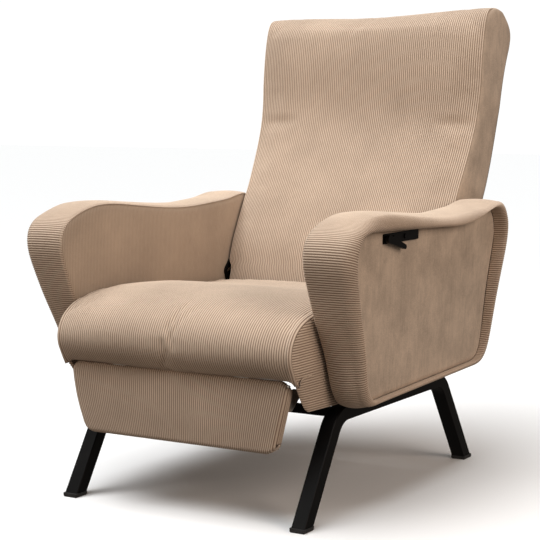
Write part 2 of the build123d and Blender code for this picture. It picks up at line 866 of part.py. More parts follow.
for name, sign in SIDES:
    with BuildPart() as side_plate_part:
        with BuildSketch(side_plane(sign, plate_inner, plate_outer)):
            side_plate_outline()
            disc(pivot, pivot_pin + pin_fit, Mode.SUBTRACT)
            with BuildLine(mode=Mode.PRIVATE) as slot_line:
                CenterArc(pivot, clamp_radius, clamp_angle - slot_spare, recline + 2 * slot_spare)
            SlotArc(slot_line.edge(), 2 * (clamp_bolt + slot_play), mode=Mode.SUBTRACT)
        extrude(amount=side_plate)
        with BuildSketch(side_plane(sign, stile_outer, plate_inner)):
            for distance in side_plate_bosses:
                disc(along_stile(distance), boss)
        extrude(amount=plate_inner - stile_outer)
    finish(side_plate_part, f"back_side_plate_{name}")

    with BuildPart() as crank:
        with BuildSketch(side_plane(sign, crank_x - link_plate, crank_x)):
            crank_outline()
        extrude(amount=link_plate)
        pin_inner = rod_inner - link_gap
        with BuildSketch(side_plane(sign, pin_inner, crank_x - link_plate)):
            disc(crank_end, link_pin)
        extrude(amount=crank_x - link_plate - pin_inner)
        with BuildSketch(side_plane(sign, pin_inner - link_head, pin_inner)):
            disc(crank_end, link_pin + link_head)
        extrude(amount=link_head)
    finish(crank, f"recline_crank_{name}")

    eye_centre = (lug_end[0] + open_eye_shift[0], lug_end[1] + open_eye_shift[1])
    with BuildPart() as push_rod:
        with BuildSketch(side_plane(sign, rod_inner, rod_outer)):
            hull_of((crank_end, rod_width / 2), (eye_centre, rod_width / 2))
            disc(crank_end, rod_eye)
            disc(eye_centre, open_eye)
            disc(crank_end, link_pin + pin_fit, Mode.SUBTRACT)
            disc(eye_centre, link_pin + open_eye_clearance, Mode.SUBTRACT)
        extrude(amount=rod_thickness)
    finish(push_rod, f"push_rod_{name}")

# ---------------------------------------------------------------- footrest
board_front_y = hinge_y - footrest_nose + footrest_pad
board_rear_y = board_front_y + footrest_board
footrest_foot_z = hinge_z - footrest_drop


def footrest_face(inset, top_z, bottom_inset):
    """Front view of the footrest: wider at the top, round lower corners."""
    top = footrest_top_half - inset
    foot = footrest_foot_half - inset
    foot_z = footrest_foot_z + bottom_inset
    corners = [(-top, top_z), (-foot, foot_z), (foot, foot_z), (top, top_z)]
    Polygon(*[(x + footrest_shift, z) for x, z in corners], align=None)
    fillet(vertices().sort_by(Axis.Y)[:2], footrest_corner - inset)


def hinge_spans(gap=0.0):
    """The two stretches along X that the hinges take."""
    for _, sign in SIDES:
        yield sign * hinge_centre_x, hinge_length + 2 * gap


def leaf_pocket(gap, mode):
    """Room for the hinge knuckles and leaves in the top of the footrest."""
    for centre, length in hinge_spans(gap):
        with BuildSketch(Plane.YZ.offset(centre - length / 2)) as pocket:
            with Locations((hinge_y, hinge_z)):
                Rectangle(4 * footrest_pad, 2 * (knuckle + hinge_leaf))
            depth = knuckle + leaf_tail + hinge_leaf
            with Locations((board_front_y - hinge_leaf / 2, hinge_z - depth / 2)):
                Rectangle(hinge_leaf, depth)
        extrude(pocket.sketch, amount=length, mode=mode)


with BuildPart() as footrest_board_part:
    with BuildSketch(Plane.XZ.offset(-board_rear_y)):
        footrest_face(board_inset, hinge_z - knuckle - hinge_leaf, board_inset)
    extrude(amount=footrest_board)
finish(footrest_board_part, "footrest_board")

with BuildPart() as footrest_pad_part:
    with BuildSketch(Plane.XZ.offset(-board_rear_y)):
        footrest_face(0, hinge_z + footrest_nose, 0)
    extrude(amount=footrest_board + footrest_pad)
    with BuildSketch(Plane.YZ.offset(-2 * footrest_top_half)):
        disc(hinge, footrest_nose)
        with Locations(((hinge_y - footrest_nose + board_rear_y) / 2, hinge_z - footrest_drop / 2)):
            Rectangle(footrest_pad + footrest_board, footrest_drop)
    extrude(amount=4 * footrest_top_half, mode=Mode.INTERSECT)
    with BuildSketch(Plane.XZ.offset(-board_rear_y)):
        footrest_face(board_inset, hinge_z - knuckle - hinge_leaf, board_inset)
    extrude(amount=footrest_board, mode=Mode.SUBTRACT)
    leaf_pocket(1, Mode.SUBTRACT)
    with BuildSketch(Plane.YZ.offset(-hinge_pin_half)):
        disc(hinge, hinge_pin)
    extrude(amount=2 * hinge_pin_half, mode=Mode.SUBTRACT)
finish(footrest_pad_part, "footrest_pad")

with BuildPart() as footrest_back_part:
    with BuildSketch(Plane.XZ.offset(-(board_rear_y + footrest_back))):
        footrest_face(back_inset, hinge_z - back_top, back_inset)
    extrude(amount=footrest_back)
    for _, sign in SIDES:
        near, far = crank_x - lug_foot - lug_room, footrest_top_half + lug_room
        with BuildSketch(side_plane(sign, near, far)):
            with Locations((board_rear_y + footrest_back / 2, hinge_z - lug_foot_drop)):
                Rectangle(footrest_back, lug_foot_height + 2 * (lug_corner + lug_room))
        extrude(amount=far - near, mode=Mode.SUBTRACT)
finish(footrest_back_part, "footrest_back")

for name, sign in SIDES:
    with BuildPart() as lug:
        with BuildSketch(side_plane(sign, crank_x - link_plate, crank_x)):
            root_y = board_rear_y + lug_corner
            reach = lug_foot_height / 2 - lug_corner
            hull_of(
                (lug_end, rod_eye),
                ((root_y, hinge_z - lug_foot_drop + reach), lug_corner),
                ((root_y, hinge_z - lug_foot_drop - reach), lug_corner),
            )
        extrude(amount=link_plate)
        with BuildSketch(side_plane(sign, crank_x - lug_foot, crank_x)):
            with Locations((board_rear_y + link_plate / 2, hinge_z - lug_foot_drop)):
                Rectangle(link_plate, lug_foot_height)
        extrude(amount=lug_foot)
        pin_inner = rod_inner - link_gap
        with BuildSketch(side_plane(sign, pin_inner, crank_x - link_plate)):
            disc(lug_end, link_pin)
        extrude(amount=crank_x - link_plate - pin_inner)
        with BuildSketch(side_plane(sign, pin_inner - link_head, pin_inner)):
            disc(lug_end, rod_eye)
        extrude(amount=link_head)
    finish(lug, f"footrest_lug_{name}")

    centre_x = sign * hinge_centre_x
    middle_half = hinge_length / 4
    with BuildPart() as hinge_base:
        with BuildSketch(Plane.YZ.offset(centre_x - middle_half)):
            with Locations((hinge_y, (hinge_z + seat_frame_bottom) / 2)):
                Rectangle(2 * hinge_leaf, seat_frame_bottom - hinge_z)
            leaf_end = seat_front_rail_y + seat_rail_width
            leaf_start = hinge_y - hinge_leaf
            with Locations(((leaf_start + leaf_end) / 2, seat_frame_bottom - hinge_leaf / 2)):
                Rectangle(leaf_end - leaf_start, hinge_leaf)
            disc(hinge, knuckle)
            disc(hinge, hinge_pin + pin_fit, Mode.SUBTRACT)
        extrude(amount=2 * middle_half)
    finish(hinge_base, f"hinge_base_{name}")

    with BuildPart() as hinge_leaf_part:
        for end in (-1, 1):
            outer_length = hinge_length / 4 - knuckle_gap
            start = centre_x + end * (middle_half + knuckle_gap + outer_length / 2) - outer_length / 2
            with BuildSketch(Plane.YZ.offset(start)):
                disc(hinge, knuckle)
                disc(hinge, hinge_pin, Mode.SUBTRACT)
                with Locations((board_front_y - hinge_leaf / 2, hinge_z - knuckle - hinge_leaf)):
                    Rectangle(hinge_leaf, 4 * hinge_leaf)
                with Locations(((hinge_y + board_front_y) / 2, hinge_z - knuckle + hinge_leaf / 2)):
                    Rectangle(board_front_y - hinge_y, hinge_leaf)
            extrude(amount=outer_length)
        with BuildSketch(Plane.YZ.offset(centre_x - hinge_length / 2 + knuckle_gap)):
            with Locations((board_front_y - hinge_leaf / 2, hinge_z - knuckle - hinge_leaf - leaf_tail / 2)):
                Rectangle(hinge_leaf, leaf_tail - 2 * hinge_leaf)
        extrude(amount=hinge_length - 2 * knuckle_gap)
    finish(hinge_leaf_part, f"hinge_leaf_{name}")

with BuildPart() as hinge_pin_part:
    with BuildSketch(Plane.YZ.offset(-hinge_pin_half)):
        disc(hinge, hinge_pin)
    extrude(amount=2 * hinge_pin_half)
finish(hinge_pin_part, "footrest_hinge_pin")

# ---------------------------------------------------------------- hand lever and clamp
lever_plate_y = lever_y - lever_plate_front + lever_plate_length / 2
lever_plate_inner = panel_x(lever_z + lever_plate_height / 2) + link_gap
lever_plate_outer = lever_plate_inner + lever_plate_thickness
lever_screw_y = [lever_y + reach for reach in lever_screw_reach]

with BuildPart() as lever_plate_part:
    with BuildSketch(Plane.YZ.offset(lever_plate_inner)):
        with Locations((lever_plate_y, lever_z + lever_plate_rise)):
            RectangleRounded(lever_plate_length, lever_plate_height, lever_plate_thickness)
        disc(lever, lever_shaft + 3 * pin_fit, Mode.SUBTRACT)
        for y in lever_screw_y:
            disc((y, lever_z + lever_plate_rise), screw / 2, Mode.SUBTRACT)
    extrude(amount=lever_plate_thickness)
finish(lever_plate_part, "lever_plate")

with BuildPart() as lever_screws:
    with BuildSketch(Plane.YZ.offset(lever_plate_inner)):
        for y in lever_screw_y:
            disc((y, lever_z + lever_plate_rise), screw / 2)
    extrude(amount=lever_plate_thickness)
    with BuildSketch(Plane.YZ.offset(lever_plate_outer)):
        for y in lever_screw_y:
            disc((y, lever_z + lever_plate_rise), screw)
    extrude(amount=lever_screw_head)
finish(lever_screws, "lever_screws")


def swing_end(centre):
    """The joint of the pull rod, below and in front of a lever axis."""
    return polar(centre, lever_arm, lever_arm_angle)


finger_inner = lever_plate_outer + 2 * link_gap + lever_screw_head
with BuildPart() as release_lever:
    with BuildSketch(Plane.YZ.offset(finger_inner)):
        root = (lever_y - pull_rod_half, lever_z + lever_plate_rise)
        tip = (lever_y + lever_tip[0], lever_z + lever_tip[1])
        hull_of((root, lever_lobe), (tip, lever_tip_radius))
    extrude(amount=lever_finger)
    with BuildSketch(Plane.YZ.offset(lever_arm_x)):
        disc(lever, lever_shaft)
    extrude(amount=finger_inner - lever_arm_x)
    with BuildSketch(Plane.YZ.offset(lever_arm_x)):
        hull_of((lever, lever_lobe), (swing_end(lever), link_eye))
    extrude(amount=lever_arm_thickness)
    with BuildSketch(Plane.YZ.offset(lever_arm_x + lever_arm_thickness)):
        disc(swing_end(lever), rod_pin)
    extrude(amount=pull_rod_thickness + pin_tail)
finish(release_lever, "release_lever")

with BuildPart() as clamp_lever:
    with BuildSketch(Plane.YZ.offset(lever_arm_x)):
        hull_of((clamp, clamp_eye), (swing_end(clamp), link_eye))
        disc(clamp, clamp_bolt + pin_fit, Mode.SUBTRACT)
    extrude(amount=lever_arm_thickness)
    with BuildSketch(Plane.YZ.offset(lever_arm_x + lever_arm_thickness)):
        disc(swing_end(clamp), rod_pin)
    extrude(amount=pull_rod_thickness + pin_tail)
finish(clamp_lever, "clamp_lever")

with BuildPart() as pull_rod:
    with BuildSketch(Plane.YZ.offset(pull_rod_x)):
        hull_of((swing_end(lever), pull_rod_half), (swing_end(clamp), pull_rod_half))
        for centre in (lever, clamp):
            disc(swing_end(centre), link_eye)
            disc(swing_end(centre), rod_pin + pin_fit, Mode.SUBTRACT)
    extrude(amount=pull_rod_thickness)
finish(pull_rod, "pull_rod")
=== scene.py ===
import json
import math

import bpy
import numpy as np
from bpy.props import FloatProperty, FloatVectorProperty, IntProperty, PointerProperty
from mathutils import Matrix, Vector
from mathutils.bvhtree import BVHTree


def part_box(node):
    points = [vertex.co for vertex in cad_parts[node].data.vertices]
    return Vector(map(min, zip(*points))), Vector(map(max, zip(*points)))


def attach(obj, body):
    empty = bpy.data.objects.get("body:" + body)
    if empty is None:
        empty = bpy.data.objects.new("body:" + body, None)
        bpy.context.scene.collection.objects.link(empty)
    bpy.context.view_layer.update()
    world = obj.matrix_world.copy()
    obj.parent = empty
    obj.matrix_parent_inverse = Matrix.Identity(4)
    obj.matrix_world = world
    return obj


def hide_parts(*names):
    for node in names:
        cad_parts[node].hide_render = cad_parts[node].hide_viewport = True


bl_info = {
    "name": "Corduroy recliner",
    "version": (1, 0, 0),
    "blender": (4, 5, 0),
    "location": "View3D > Sidebar > Recliner",
    "description": "Upholsters the packed recliner frame and lights it",
    "category": "Object",
}

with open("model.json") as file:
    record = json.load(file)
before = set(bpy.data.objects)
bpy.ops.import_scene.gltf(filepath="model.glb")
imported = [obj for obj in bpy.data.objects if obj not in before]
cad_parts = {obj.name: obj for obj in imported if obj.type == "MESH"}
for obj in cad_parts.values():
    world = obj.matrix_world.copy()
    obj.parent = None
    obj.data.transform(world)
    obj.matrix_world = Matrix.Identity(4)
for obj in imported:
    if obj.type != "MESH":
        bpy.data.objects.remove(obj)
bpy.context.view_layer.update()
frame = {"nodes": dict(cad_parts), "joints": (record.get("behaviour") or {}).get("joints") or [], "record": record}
SIDES = (("left", 1), ("right", -1))


# ---------------------------------------------------------------- settings
class RecliningChairSettings(bpy.types.PropertyGroup):
    """Sizes and colours of the upholstery."""

    rib_pitch: FloatProperty(
        name="Rib pitch", description="Width of one corduroy rib", default=0.0049, unit="LENGTH"
    )
    rib_height: FloatProperty(
        name="Rib height", description="Depth of the valleys", default=0.0014, unit="LENGTH"
    )
    seat_crown: FloatProperty(
        name="Seat crown", description="Swell of the seat top", default=0.0155, unit="LENGTH"
    )
    nose_crown: FloatProperty(
        name="Nose crown", description="Swell of the seat front", default=0.0145, unit="LENGTH"
    )
    back_crown: FloatProperty(
        name="Back crown", description="Swell of the back front", default=0.006, unit="LENGTH"
    )
    slack: FloatProperty(
        name="Slack", description="Share by which the covers are cut too large", default=0.004
    )
    ridge: FloatVectorProperty(
        name="Ridge", description="Pile on the ribs", subtype="COLOR", default=(0.60, 0.472, 0.362)
    )
    # Colour of the painted shade that darkens the cloth between the ribs.
    valley_shade: FloatVectorProperty(
        name="Valley", description="Cloth in the valleys", subtype="COLOR", default=(0.12, 0.058, 0.034)
    )
    sim_frames: IntProperty(
        name="Cloth steps", description="Frames of cloth simulation for each cover", default=20
    )


def settings():
    return bpy.context.scene.reclining_chair


# ---------------------------------------------------------------- reading the frame
def solid_of(*nodes):
    """A search tree over the surfaces of some CAD nodes."""
    corners = []
    faces = []
    for node in nodes:
        mesh = frame["nodes"][node].data
        start = len(corners)
        corners += [vertex.co.copy() for vertex in mesh.vertices]
        faces += [[start + index for index in face.vertices] for face in mesh.polygons]
    return BVHTree.FromPolygons(corners, faces)


def hit(tree, origin, direction):
    """Where a ray first meets a tree."""
    place = tree.ray_cast(Vector(origin), Vector(direction))[0]
    if place is None:
        raise ValueError(f"nothing of the frame lies from {origin} towards {direction}")
    return place


def outline(tree, x, centre, outward=False, count=720):
    """The closed side outline of a solid in the plane at x, met by rays about a centre."""
    points = []
    for step in range(count):
        angle = 2 * math.pi * step / count
        y, z = math.cos(angle), math.sin(angle)
        if outward:
            place = hit(tree, (x, centre[0], centre[1]), (0, y, z))
        else:
            place = hit(tree, (x, centre[0] + 2 * y, centre[1] + 2 * z), (0, -y, -z))
        points.append((place.y, place.z))
    return np.array(points)


def smoothed(points, sigma, closed=True):
    """Points averaged with their neighbours, sigma counted in points."""
    reach = int(3 * sigma)
    weights = np.exp(-0.5 * (np.arange(-reach, reach + 1) / sigma) ** 2)
    weights /= weights.sum()
    if closed:
        padded = np.concatenate([points[-reach:], points, points[:reach]])
    else:
        head = 2 * points[0] - points[1 : reach + 1][::-1]
        tail = 2 * points[-1] - points[-reach - 1 : -1][::-1]
        padded = np.concatenate([head, points, tail])
    found = [np.convolve(padded[:, axis], weights, mode="valid") for axis in range(points.shape[1])]
    return np.stack(found, axis=1)


def lengths(points):
    """Distance along a run of points, from its start."""
    steps = np.linalg.norm(np.diff(points, axis=0), axis=1)
    return np.concatenate([[0.0], np.cumsum(steps)])


def resampled(points, count=None, pitch=None):
    """Evenly spaced points along an open run."""
    along = lengths(points)
    if count is None:
        count = max(2, int(round(along[-1] / pitch)) + 1)
    wanted = np.linspace(0, along[-1], count)
    found = [np.interp(wanted, along, points[:, axis]) for axis in range(points.shape[1])]
    return np.stack(found, axis=1)


def ramp(value, start, length):
    """0 before start, 1 past start plus length, straight between."""
    return np.clip((value - start) / length, 0, 1)


# ---------------------------------------------------------------- covers
RIB_STEPS = 5
CLOTH = {
    "quality": 6,
    "mass": 0.35,
    "tension_stiffness": 30,
    "compression_stiffness": 12,
    "bending_stiffness": 1.2,
    "use_pressure": True,
}


def rib_columns(length):
    """How many columns a ribbed cover of this width needs."""
    ribs = max(1, round(length / settings().rib_pitch))
    return ribs * RIB_STEPS + 1


def grid_normals(points):
    """Unit normals of a grid of points."""
    across = np.gradient(points, axis=0)
    along = np.gradient(points, axis=1)
    normals = np.cross(across, along)
    sizes = np.linalg.norm(normals, axis=2, keepdims=True)
    return normals / np.maximum(sizes, 1e-12)


def billowed(points, steps, cap, pressure=2.5):
    """The grid after a cloth simulation holds its edges and presses it outward, by the cap at most."""
    coarse_rows = np.linspace(0, points.shape[0] - 1, steps[0]).round().astype(int)
    coarse_cols = np.linspace(0, points.shape[1] - 1, steps[1]).round().astype(int)
    coarse = points[np.ix_(coarse_rows, coarse_cols)]
    piece = grid_mesh("cloth", coarse)
    rows, cols = coarse.shape[:2]
    border = [
        row * cols + col
        for row in range(rows)
        for col in range(cols)
        if row in (0, rows - 1) or col in (0, cols - 1)
    ]
    group = piece.vertex_groups.new(name="seam")
    group.add(border, 1.0, "REPLACE")
    cloth = piece.modifiers.new("cloth", "CLOTH").settings
    cloth.vertex_group_mass = "seam"
    for option, value in CLOTH.items():
        setattr(cloth, option, value)
    cloth.uniform_pressure_force = pressure
    cloth.shrink_min = -settings().slack
    cloth.effector_weights.gravity = 0
    scene = bpy.context.scene
    for frame_number in range(1, settings().sim_frames + 1):
        scene.frame_set(frame_number)
    solved = piece.evaluated_get(bpy.context.evaluated_depsgraph_get()).data
    after = np.empty(len(solved.vertices) * 3)
    solved.vertices.foreach_get("co", after)
    moved = after.reshape(coarse.shape) - coarse
    sizes = np.linalg.norm(moved, axis=2, keepdims=True)
    moved *= np.minimum(1.0, cap / np.maximum(sizes, 1e-9))
    scene.frame_set(1)
    mesh = piece.data
    bpy.data.objects.remove(piece)
    bpy.data.meshes.remove(mesh)
    return points + stretched_to(moved, coarse_rows, coarse_cols, points.shape)


def swollen(x, profile, normal, crown, bulge):
    """A grid that carries a side profile across at x, lifted along the profile's normals."""
    points = np.empty((len(x), len(profile), 3))
    points[:, :, 0] = x
    for axis in (0, 1):
        lift = normal[None, :, axis] * crown[None] * bulge[:, None]
        points[:, :, axis + 1] = profile[None, :, axis] + lift
    return points


def stretched_to(field, rows, cols, shape):
    """A coarse field brought to every point of the fine grid, smoothly."""
    wide = np.stack(
        [
            [np.interp(np.arange(shape[1]), cols, field[row, :, axis]) for row in range(len(rows))]
            for axis in range(3)
        ],
        axis=2,
    )
    full = np.empty(shape)
    for axis in range(3):
        for col in range(shape[1]):
            full[:, col, axis] = np.interp(np.arange(shape[0]), rows, wide[:, col, axis])
    return full


def grid_mesh(name, points, widths=None, heights=None, closed=False):
    """A mesh object from a grid of points, with the cloth's own coordinates as its UV map."""
    rows, cols = points.shape[:2]
    mesh = bpy.data.meshes.new(name)
    last = rows if closed else rows - 1
    row, col = np.meshgrid(np.arange(last), np.arange(cols - 1), indexing="ij")
    after = (row + 1) % rows
    quads = np.stack(
        [row * cols + col, after * cols + col, after * cols + col + 1, row * cols + col + 1], axis=2
    ).reshape(-1, 4)
    mesh.from_pydata(points.reshape(-1, 3).tolist(), [], quads.tolist())
    mesh.polygons.foreach_set("use_smooth", [True] * len(quads))
    if widths is not None:
        uv = mesh.uv_layers.new(name="cloth")
        next_row = row + 1
        flat_u = np.stack([row, next_row, next_row, row], axis=2).reshape(-1)
        flat_v = np.stack([col, col, col + 1, col + 1], axis=2).reshape(-1)
        row_u = np.append(widths, 2 * widths[-1] - widths[-2]) if closed else widths
        pairs = np.stack([row_u[flat_u], heights[flat_v]], axis=1)
        uv.data.foreach_set("uv", pairs.reshape(-1))
    mesh.validate()
    mesh.update()
    piece = bpy.data.objects.new(name, mesh)
    bpy.context.scene.collection.objects.link(piece)
    return piece


def upholstered(
    name,
    points,
    body,
    node,
    ribbed=True,
    closed=False,
    tuck=0.0,
    flip=False,
    cloth=None,
    standing=1.0,
):
    """One cover: its ribs sunk between ridges, edges tucked in at the seams, and attached to its body."""
    chair = settings()
    if flip:
        points = points[:, ::-1]
    if ribbed:
        widths = np.arange(points.shape[0]) / RIB_STEPS * chair.rib_pitch
    else:
        widths = lengths(points[:, points.shape[1] // 2])
    heights = lengths(points[points.shape[0] // 2])
    normals = grid_normals(points)
    if closed:
        joined = np.concatenate([points[-1:], points, points[:1]])
        normals = grid_normals(joined)[1:-1]
    if ribbed:
        phase = (np.arange(points.shape[0]) % RIB_STEPS) / RIB_STEPS
        wale = 1 - (2 * phase - 1) ** 2
        points = points + normals * (chair.rib_height * standing * (wale - 1))[:, None, None]
    if tuck:
        points = with_hem(points, normals, tuck, closed)
        widths, heights = hem_coordinates(widths, heights, tuck, closed)
    piece = grid_mesh(name, points, widths, heights, closed)
    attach(piece, body)
    if node:
        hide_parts(*([node] if isinstance(node, str) else node))
    piece.data.materials.append((cloth or (corduroy if ribbed else velvet))())
    return piece


def with_hem(points, normals, depth, closed):
    """The grid with a folded-in hem of some depth along its open edges."""
    first = points[:, :1] - normals[:, :1] * depth
    last = points[:, -1:] - normals[:, -1:] * depth
    points = np.concatenate([first, points, last], axis=1)
    if closed:
        return points
    normals = np.concatenate([normals[:, :1], normals, normals[:, -1:]], axis=1)
    head = points[:1] - normals[:1] * depth
    tail = points[-1:] - normals[-1:] * depth
    return np.concatenate([head, points, tail])


def hem_coordinates(widths, heights, depth, closed):
    """The cloth coordinates that go with the hem."""
    heights = np.concatenate([[heights[0] - depth], heights, [heights[-1] + depth]])
    if not closed:
        widths = np.concatenate([[widths[0] - depth], widths, [widths[-1] + depth]])
    return widths, heights


def swell(share, fullness=2.4, edge=0.55):
    """Crown of a stuffed cover, 0 at its seams and 1 in the middle; share runs -1 to 1."""
    return np.maximum(0, 1 - np.abs(share) ** fullness) ** edge


# ---------------------------------------------------------------- shader maths
class Socket:
    """A shader output that takes part in Python expressions."""

    def __init__(self, maker, output):
        self.maker = maker
        self.output = output

    def _math(self, operation, *values):
        return self.maker.node("ShaderNodeMath", {"operation": operation}, dict(enumerate(values)))

    def __add__(self, other):
        return self._math("ADD", self, other)

    __radd__ = __add__

    def __mul__(self, other):
        return self._math("MULTIPLY", self, other)

    __rmul__ = __mul__

    def __sub__(self, other):
        return self._math("SUBTRACT", self, other)

    def __rsub__(self, other):
        return self._math("SUBTRACT", other, self)

    def power(self, exponent):
        return self._math("POWER", self, exponent)

    def frac(self):
        return self._math("FRACT", self)

    def absolute(self):
        return self._math("ABSOLUTE", self)


class Shader:
    """One material and its nodes."""

    def __init__(self, name):
        self.material = bpy.data.materials.new(name)
        self.material.use_nodes = True
        self.tree = self.material.node_tree
        self.surface = self.tree.nodes["Principled BSDF"]

    def node(self, kind, options=None, inputs=None, output=0):
        made = self.tree.nodes.new(kind)
        for key, value in (options or {}).items():
            if key == "stops":
                self._stops(made, value)
            else:
                setattr(made, key, value)
        for key, value in (inputs or {}).items():
            self._feed(made.inputs[key], value)
        return Socket(self, made.outputs[output])

    def _stops(self, made, stops):
        elements = made.color_ramp.elements
        while len(elements) < len(stops):
            elements.new(1.0)
        for element, (place, colour) in zip(elements, stops):
            element.position = place
            element.color = (*colour, 1.0)

    def _feed(self, socket, value):
        if isinstance(value, Socket):
            self.tree.links.new(value.output, socket)
        else:
            socket.default_value = value

    def set(self, **inputs):
        for name, value in inputs.items():
            self._feed(self.surface.inputs[name.replace("_", " ")], value)
        return self.material

    def noise(self, vector, scale, detail=3.0, roughness=0.55):
        return self.node(
            "ShaderNodeTexNoise",
            {},
            {"Vector": vector, "Scale": scale, "Detail": detail, "Roughness": roughness},
        )

    def stretch(self, vector, scale):
        return self.node("ShaderNodeMapping", {}, {"Vector": vector, "Scale": scale})

    def blend(self, factor, first, second, kind="MIX"):
        options = {"data_type": "RGBA", "blend_type": kind}
        return self.node("ShaderNodeMix", options, {0: factor, 6: first, 7: second}, output=2)

    def ramped(self, tone, stops):
        return self.node("ShaderNodeValToRGB", {"stops": stops}, {"Fac": tone})

    def coordinates(self):
        return self.node("ShaderNodeTexCoord", {}, {}, output=3)

    def cloth_map(self):
        return self.node("ShaderNodeUVMap", {"uv_map": "cloth"}, {})

    def bump(self, height, strength, distance):
        return self.node(
            "ShaderNodeBump", {}, {"Height": height, "Strength": strength, "Distance": distance}
        )


MADE = {}


def once(make):
    """Each material is made the first time it is asked for."""

    def given():
        if make.__name__ not in MADE:
            MADE[make.__name__] = make()
        return MADE[make.__name__]

    return given


PILE = {
    "Sheen_Weight": 0.25,
    "Sheen_Roughness": 0.5,
    "Sheen_Tint": (1.0, 0.95, 0.88, 1.0),
    "Specular_IOR_Level": 0.15,
}


def ribbed_cloth(name, depth, shade_gain=1.0):
    """Ribbed pile: pale ridges, valleys darkened as painted shade, brushed patches and short fibres."""
    chair = settings()
    shader = Shader(name)
    cloth = shader.cloth_map()
    place = shader.coordinates()
    split = shader.node("ShaderNodeSeparateXYZ", {}, {0: cloth})
    phase = (split * (1 / chair.rib_pitch)).frac()
    # Mask of painted shade between the ribs: 1 where two ribs meet, 0 on a rib's crest.
    valley_shade = ((phase - 0.5) * 2).absolute().power(1.7)
    patches = shader.noise(place, 7.0, 3.0)
    brushed = shader.noise(shader.stretch(cloth, (900.0, 60.0, 1.0)), 1.0, 4.0, 0.7)
    fibres = shader.noise(shader.stretch(cloth, (4200.0, 1100.0, 1.0)), 1.0, 2.0, 0.6)
    tone = 0.35 * patches + 0.35 * brushed + 0.3 * fibres
    # This factor darkens the ridge colour as painted shade; at 1.0 there is none.
    dull, bright = [[c * share * shade_gain for c in chair.ridge] for share in (0.84, 1.30)]
    ridge_stops = [(0.36, dull), (0.66, bright)]
    ridge = shader.ramped(tone, ridge_stops)
    # The valleys are blended towards a near-black brown by depth: painted shade.
    colour = shader.blend(valley_shade * depth, ridge, (*chair.valley_shade, 1.0))
    nap = shader.bump(fibres * 0.6 + brushed * 0.4, 0.35, 0.0006)
    return shader.set(
        Base_Color=colour,
        Roughness=0.9 - 0.1 * tone,
        Normal=nap,
        **PILE,
    )


@once
def corduroy():
    """Corduroy with its pile standing and strong painted shade in its valleys."""
    return ribbed_cloth("corduroy", 0.92)


@once
def brushed_corduroy():
    """Corduroy whose pile is brushed over, so its painted valley shade is faint; its ridges are darkened to 0.74
    as painted shade for the arms' inner faces.
    """
    return ribbed_cloth("brushed_corduroy", 0.34, 0.74)


@once
def velvet():
    """The same cloth where its pile lies flat: faint upright streaks and brushed patches."""
    chair = settings()
    shader = Shader("brushed_cloth")
    place = shader.coordinates()
    streaks = shader.noise(shader.stretch(place, (130.0, 130.0, 22.0)), 1.0, 4.0, 0.65)
    patches = shader.noise(place, 14.0, 5.0, 0.65)
    fibres = shader.noise(place, 420.0, 4.0, 0.7)
    tone = 0.2 * streaks + 0.45 * patches + 0.35 * fibres
    # A little of the painted valley shade colour is mixed into the flat colour.
    flat = [0.96 * r + 0.04 * v for r, v in zip(chair.ridge, chair.valley_shade)]
    stops = [(0.41, [c * 0.72 for c in flat]), (0.60, [c * 1.12 for c in flat])]
    colour = shader.ramped(tone, stops)
    nap = shader.bump(fibres * 0.6 + streaks * 0.4, 0.5, 0.0007)
    return shader.set(
        Base_Color=colour,
        Roughness=0.88 - 0.08 * tone,
        Normal=nap,
        **PILE,
    )


@once
def black_paint():
    """Satin black stove enamel with slight orange peel and rubbed patches."""
    shader = Shader("black_paint")
    place = shader.coordinates()
    peel = shader.noise(place, 420.0, 2.0)
    rubbed = shader.noise(place, 22.0, 4.0, 0.6)
    stops = [(0.35, (0.0022, 0.0022, 0.0024)), (0.75, (0.0055, 0.005, 0.0048))]
    colour = shader.ramped(rubbed, stops)
    return shader.set(
        Base_Color=colour,
        Roughness=0.34 + 0.16 * rubbed,
        Normal=shader.bump(peel, 0.08, 0.0004),
        Specular_IOR_Level=0.10,
    )


@once
def glide_plastic():
    """Moulded black foot glide, scuffed."""
    shader = Shader("glide_plastic")
    place = shader.coordinates()
    scuffs = shader.noise(place, 160.0, 3.0)
    stops = [(0.4, (0.012, 0.012, 0.012)), (0.8, (0.035, 0.034, 0.033))]
    colour = shader.ramped(scuffs, stops)
    return shader.set(Base_Color=colour, Roughness=0.5 + 0.2 * scuffs)


@once
def zinc():
    """Zinc-plated steel with a faint spangle."""
    shader = Shader("zinc")
    place = shader.coordinates()
    spangle = shader.noise(place, 90.0, 3.0)
    stops = [(0.35, (0.42, 0.42, 0.40)), (0.7, (0.62, 0.61, 0.58))]
    colour = shader.ramped(spangle, stops)
    return shader.set(Base_Color=colour, Metallic=1.0, Roughness=0.32 + 0.16 * spangle)


@once
def beech():
    """Sawn beech and plywood with long grain and short flecks."""
    shader = Shader("beech")
    place = shader.coordinates()
    grain = shader.noise(shader.stretch(place, (60.0, 8.0, 60.0)), 1.0, 5.0, 0.65)
    flecks = shader.noise(shader.stretch(place, (900.0, 120.0, 900.0)), 1.0, 2.0)
    tone = 0.7 * grain + 0.3 * flecks
    stops = [(0.35, (0.42, 0.26, 0.14)), (0.68, (0.66, 0.46, 0.28))]
    colour = shader.ramped(tone, stops)
    return shader.set(
        Base_Color=colour,
        Roughness=0.55 + 0.15 * tone,
        Normal=shader.bump(tone, 0.15, 0.0006),
    )


@once
def webbing():
    """Woven elastic strap."""
    shader = Shader("webbing")
    place = shader.coordinates()
    weave = shader.noise(shader.stretch(place, (900.0, 300.0, 900.0)), 1.0, 2.0)
    stops = [(0.35, (0.05, 0.045, 0.04)), (0.7, (0.12, 0.10, 0.085))]
    colour = shader.ramped(weave, stops)
    return shader.set(Base_Color=colour, Roughness=0.9, Normal=shader.bump(weave, 0.4, 0.0006))


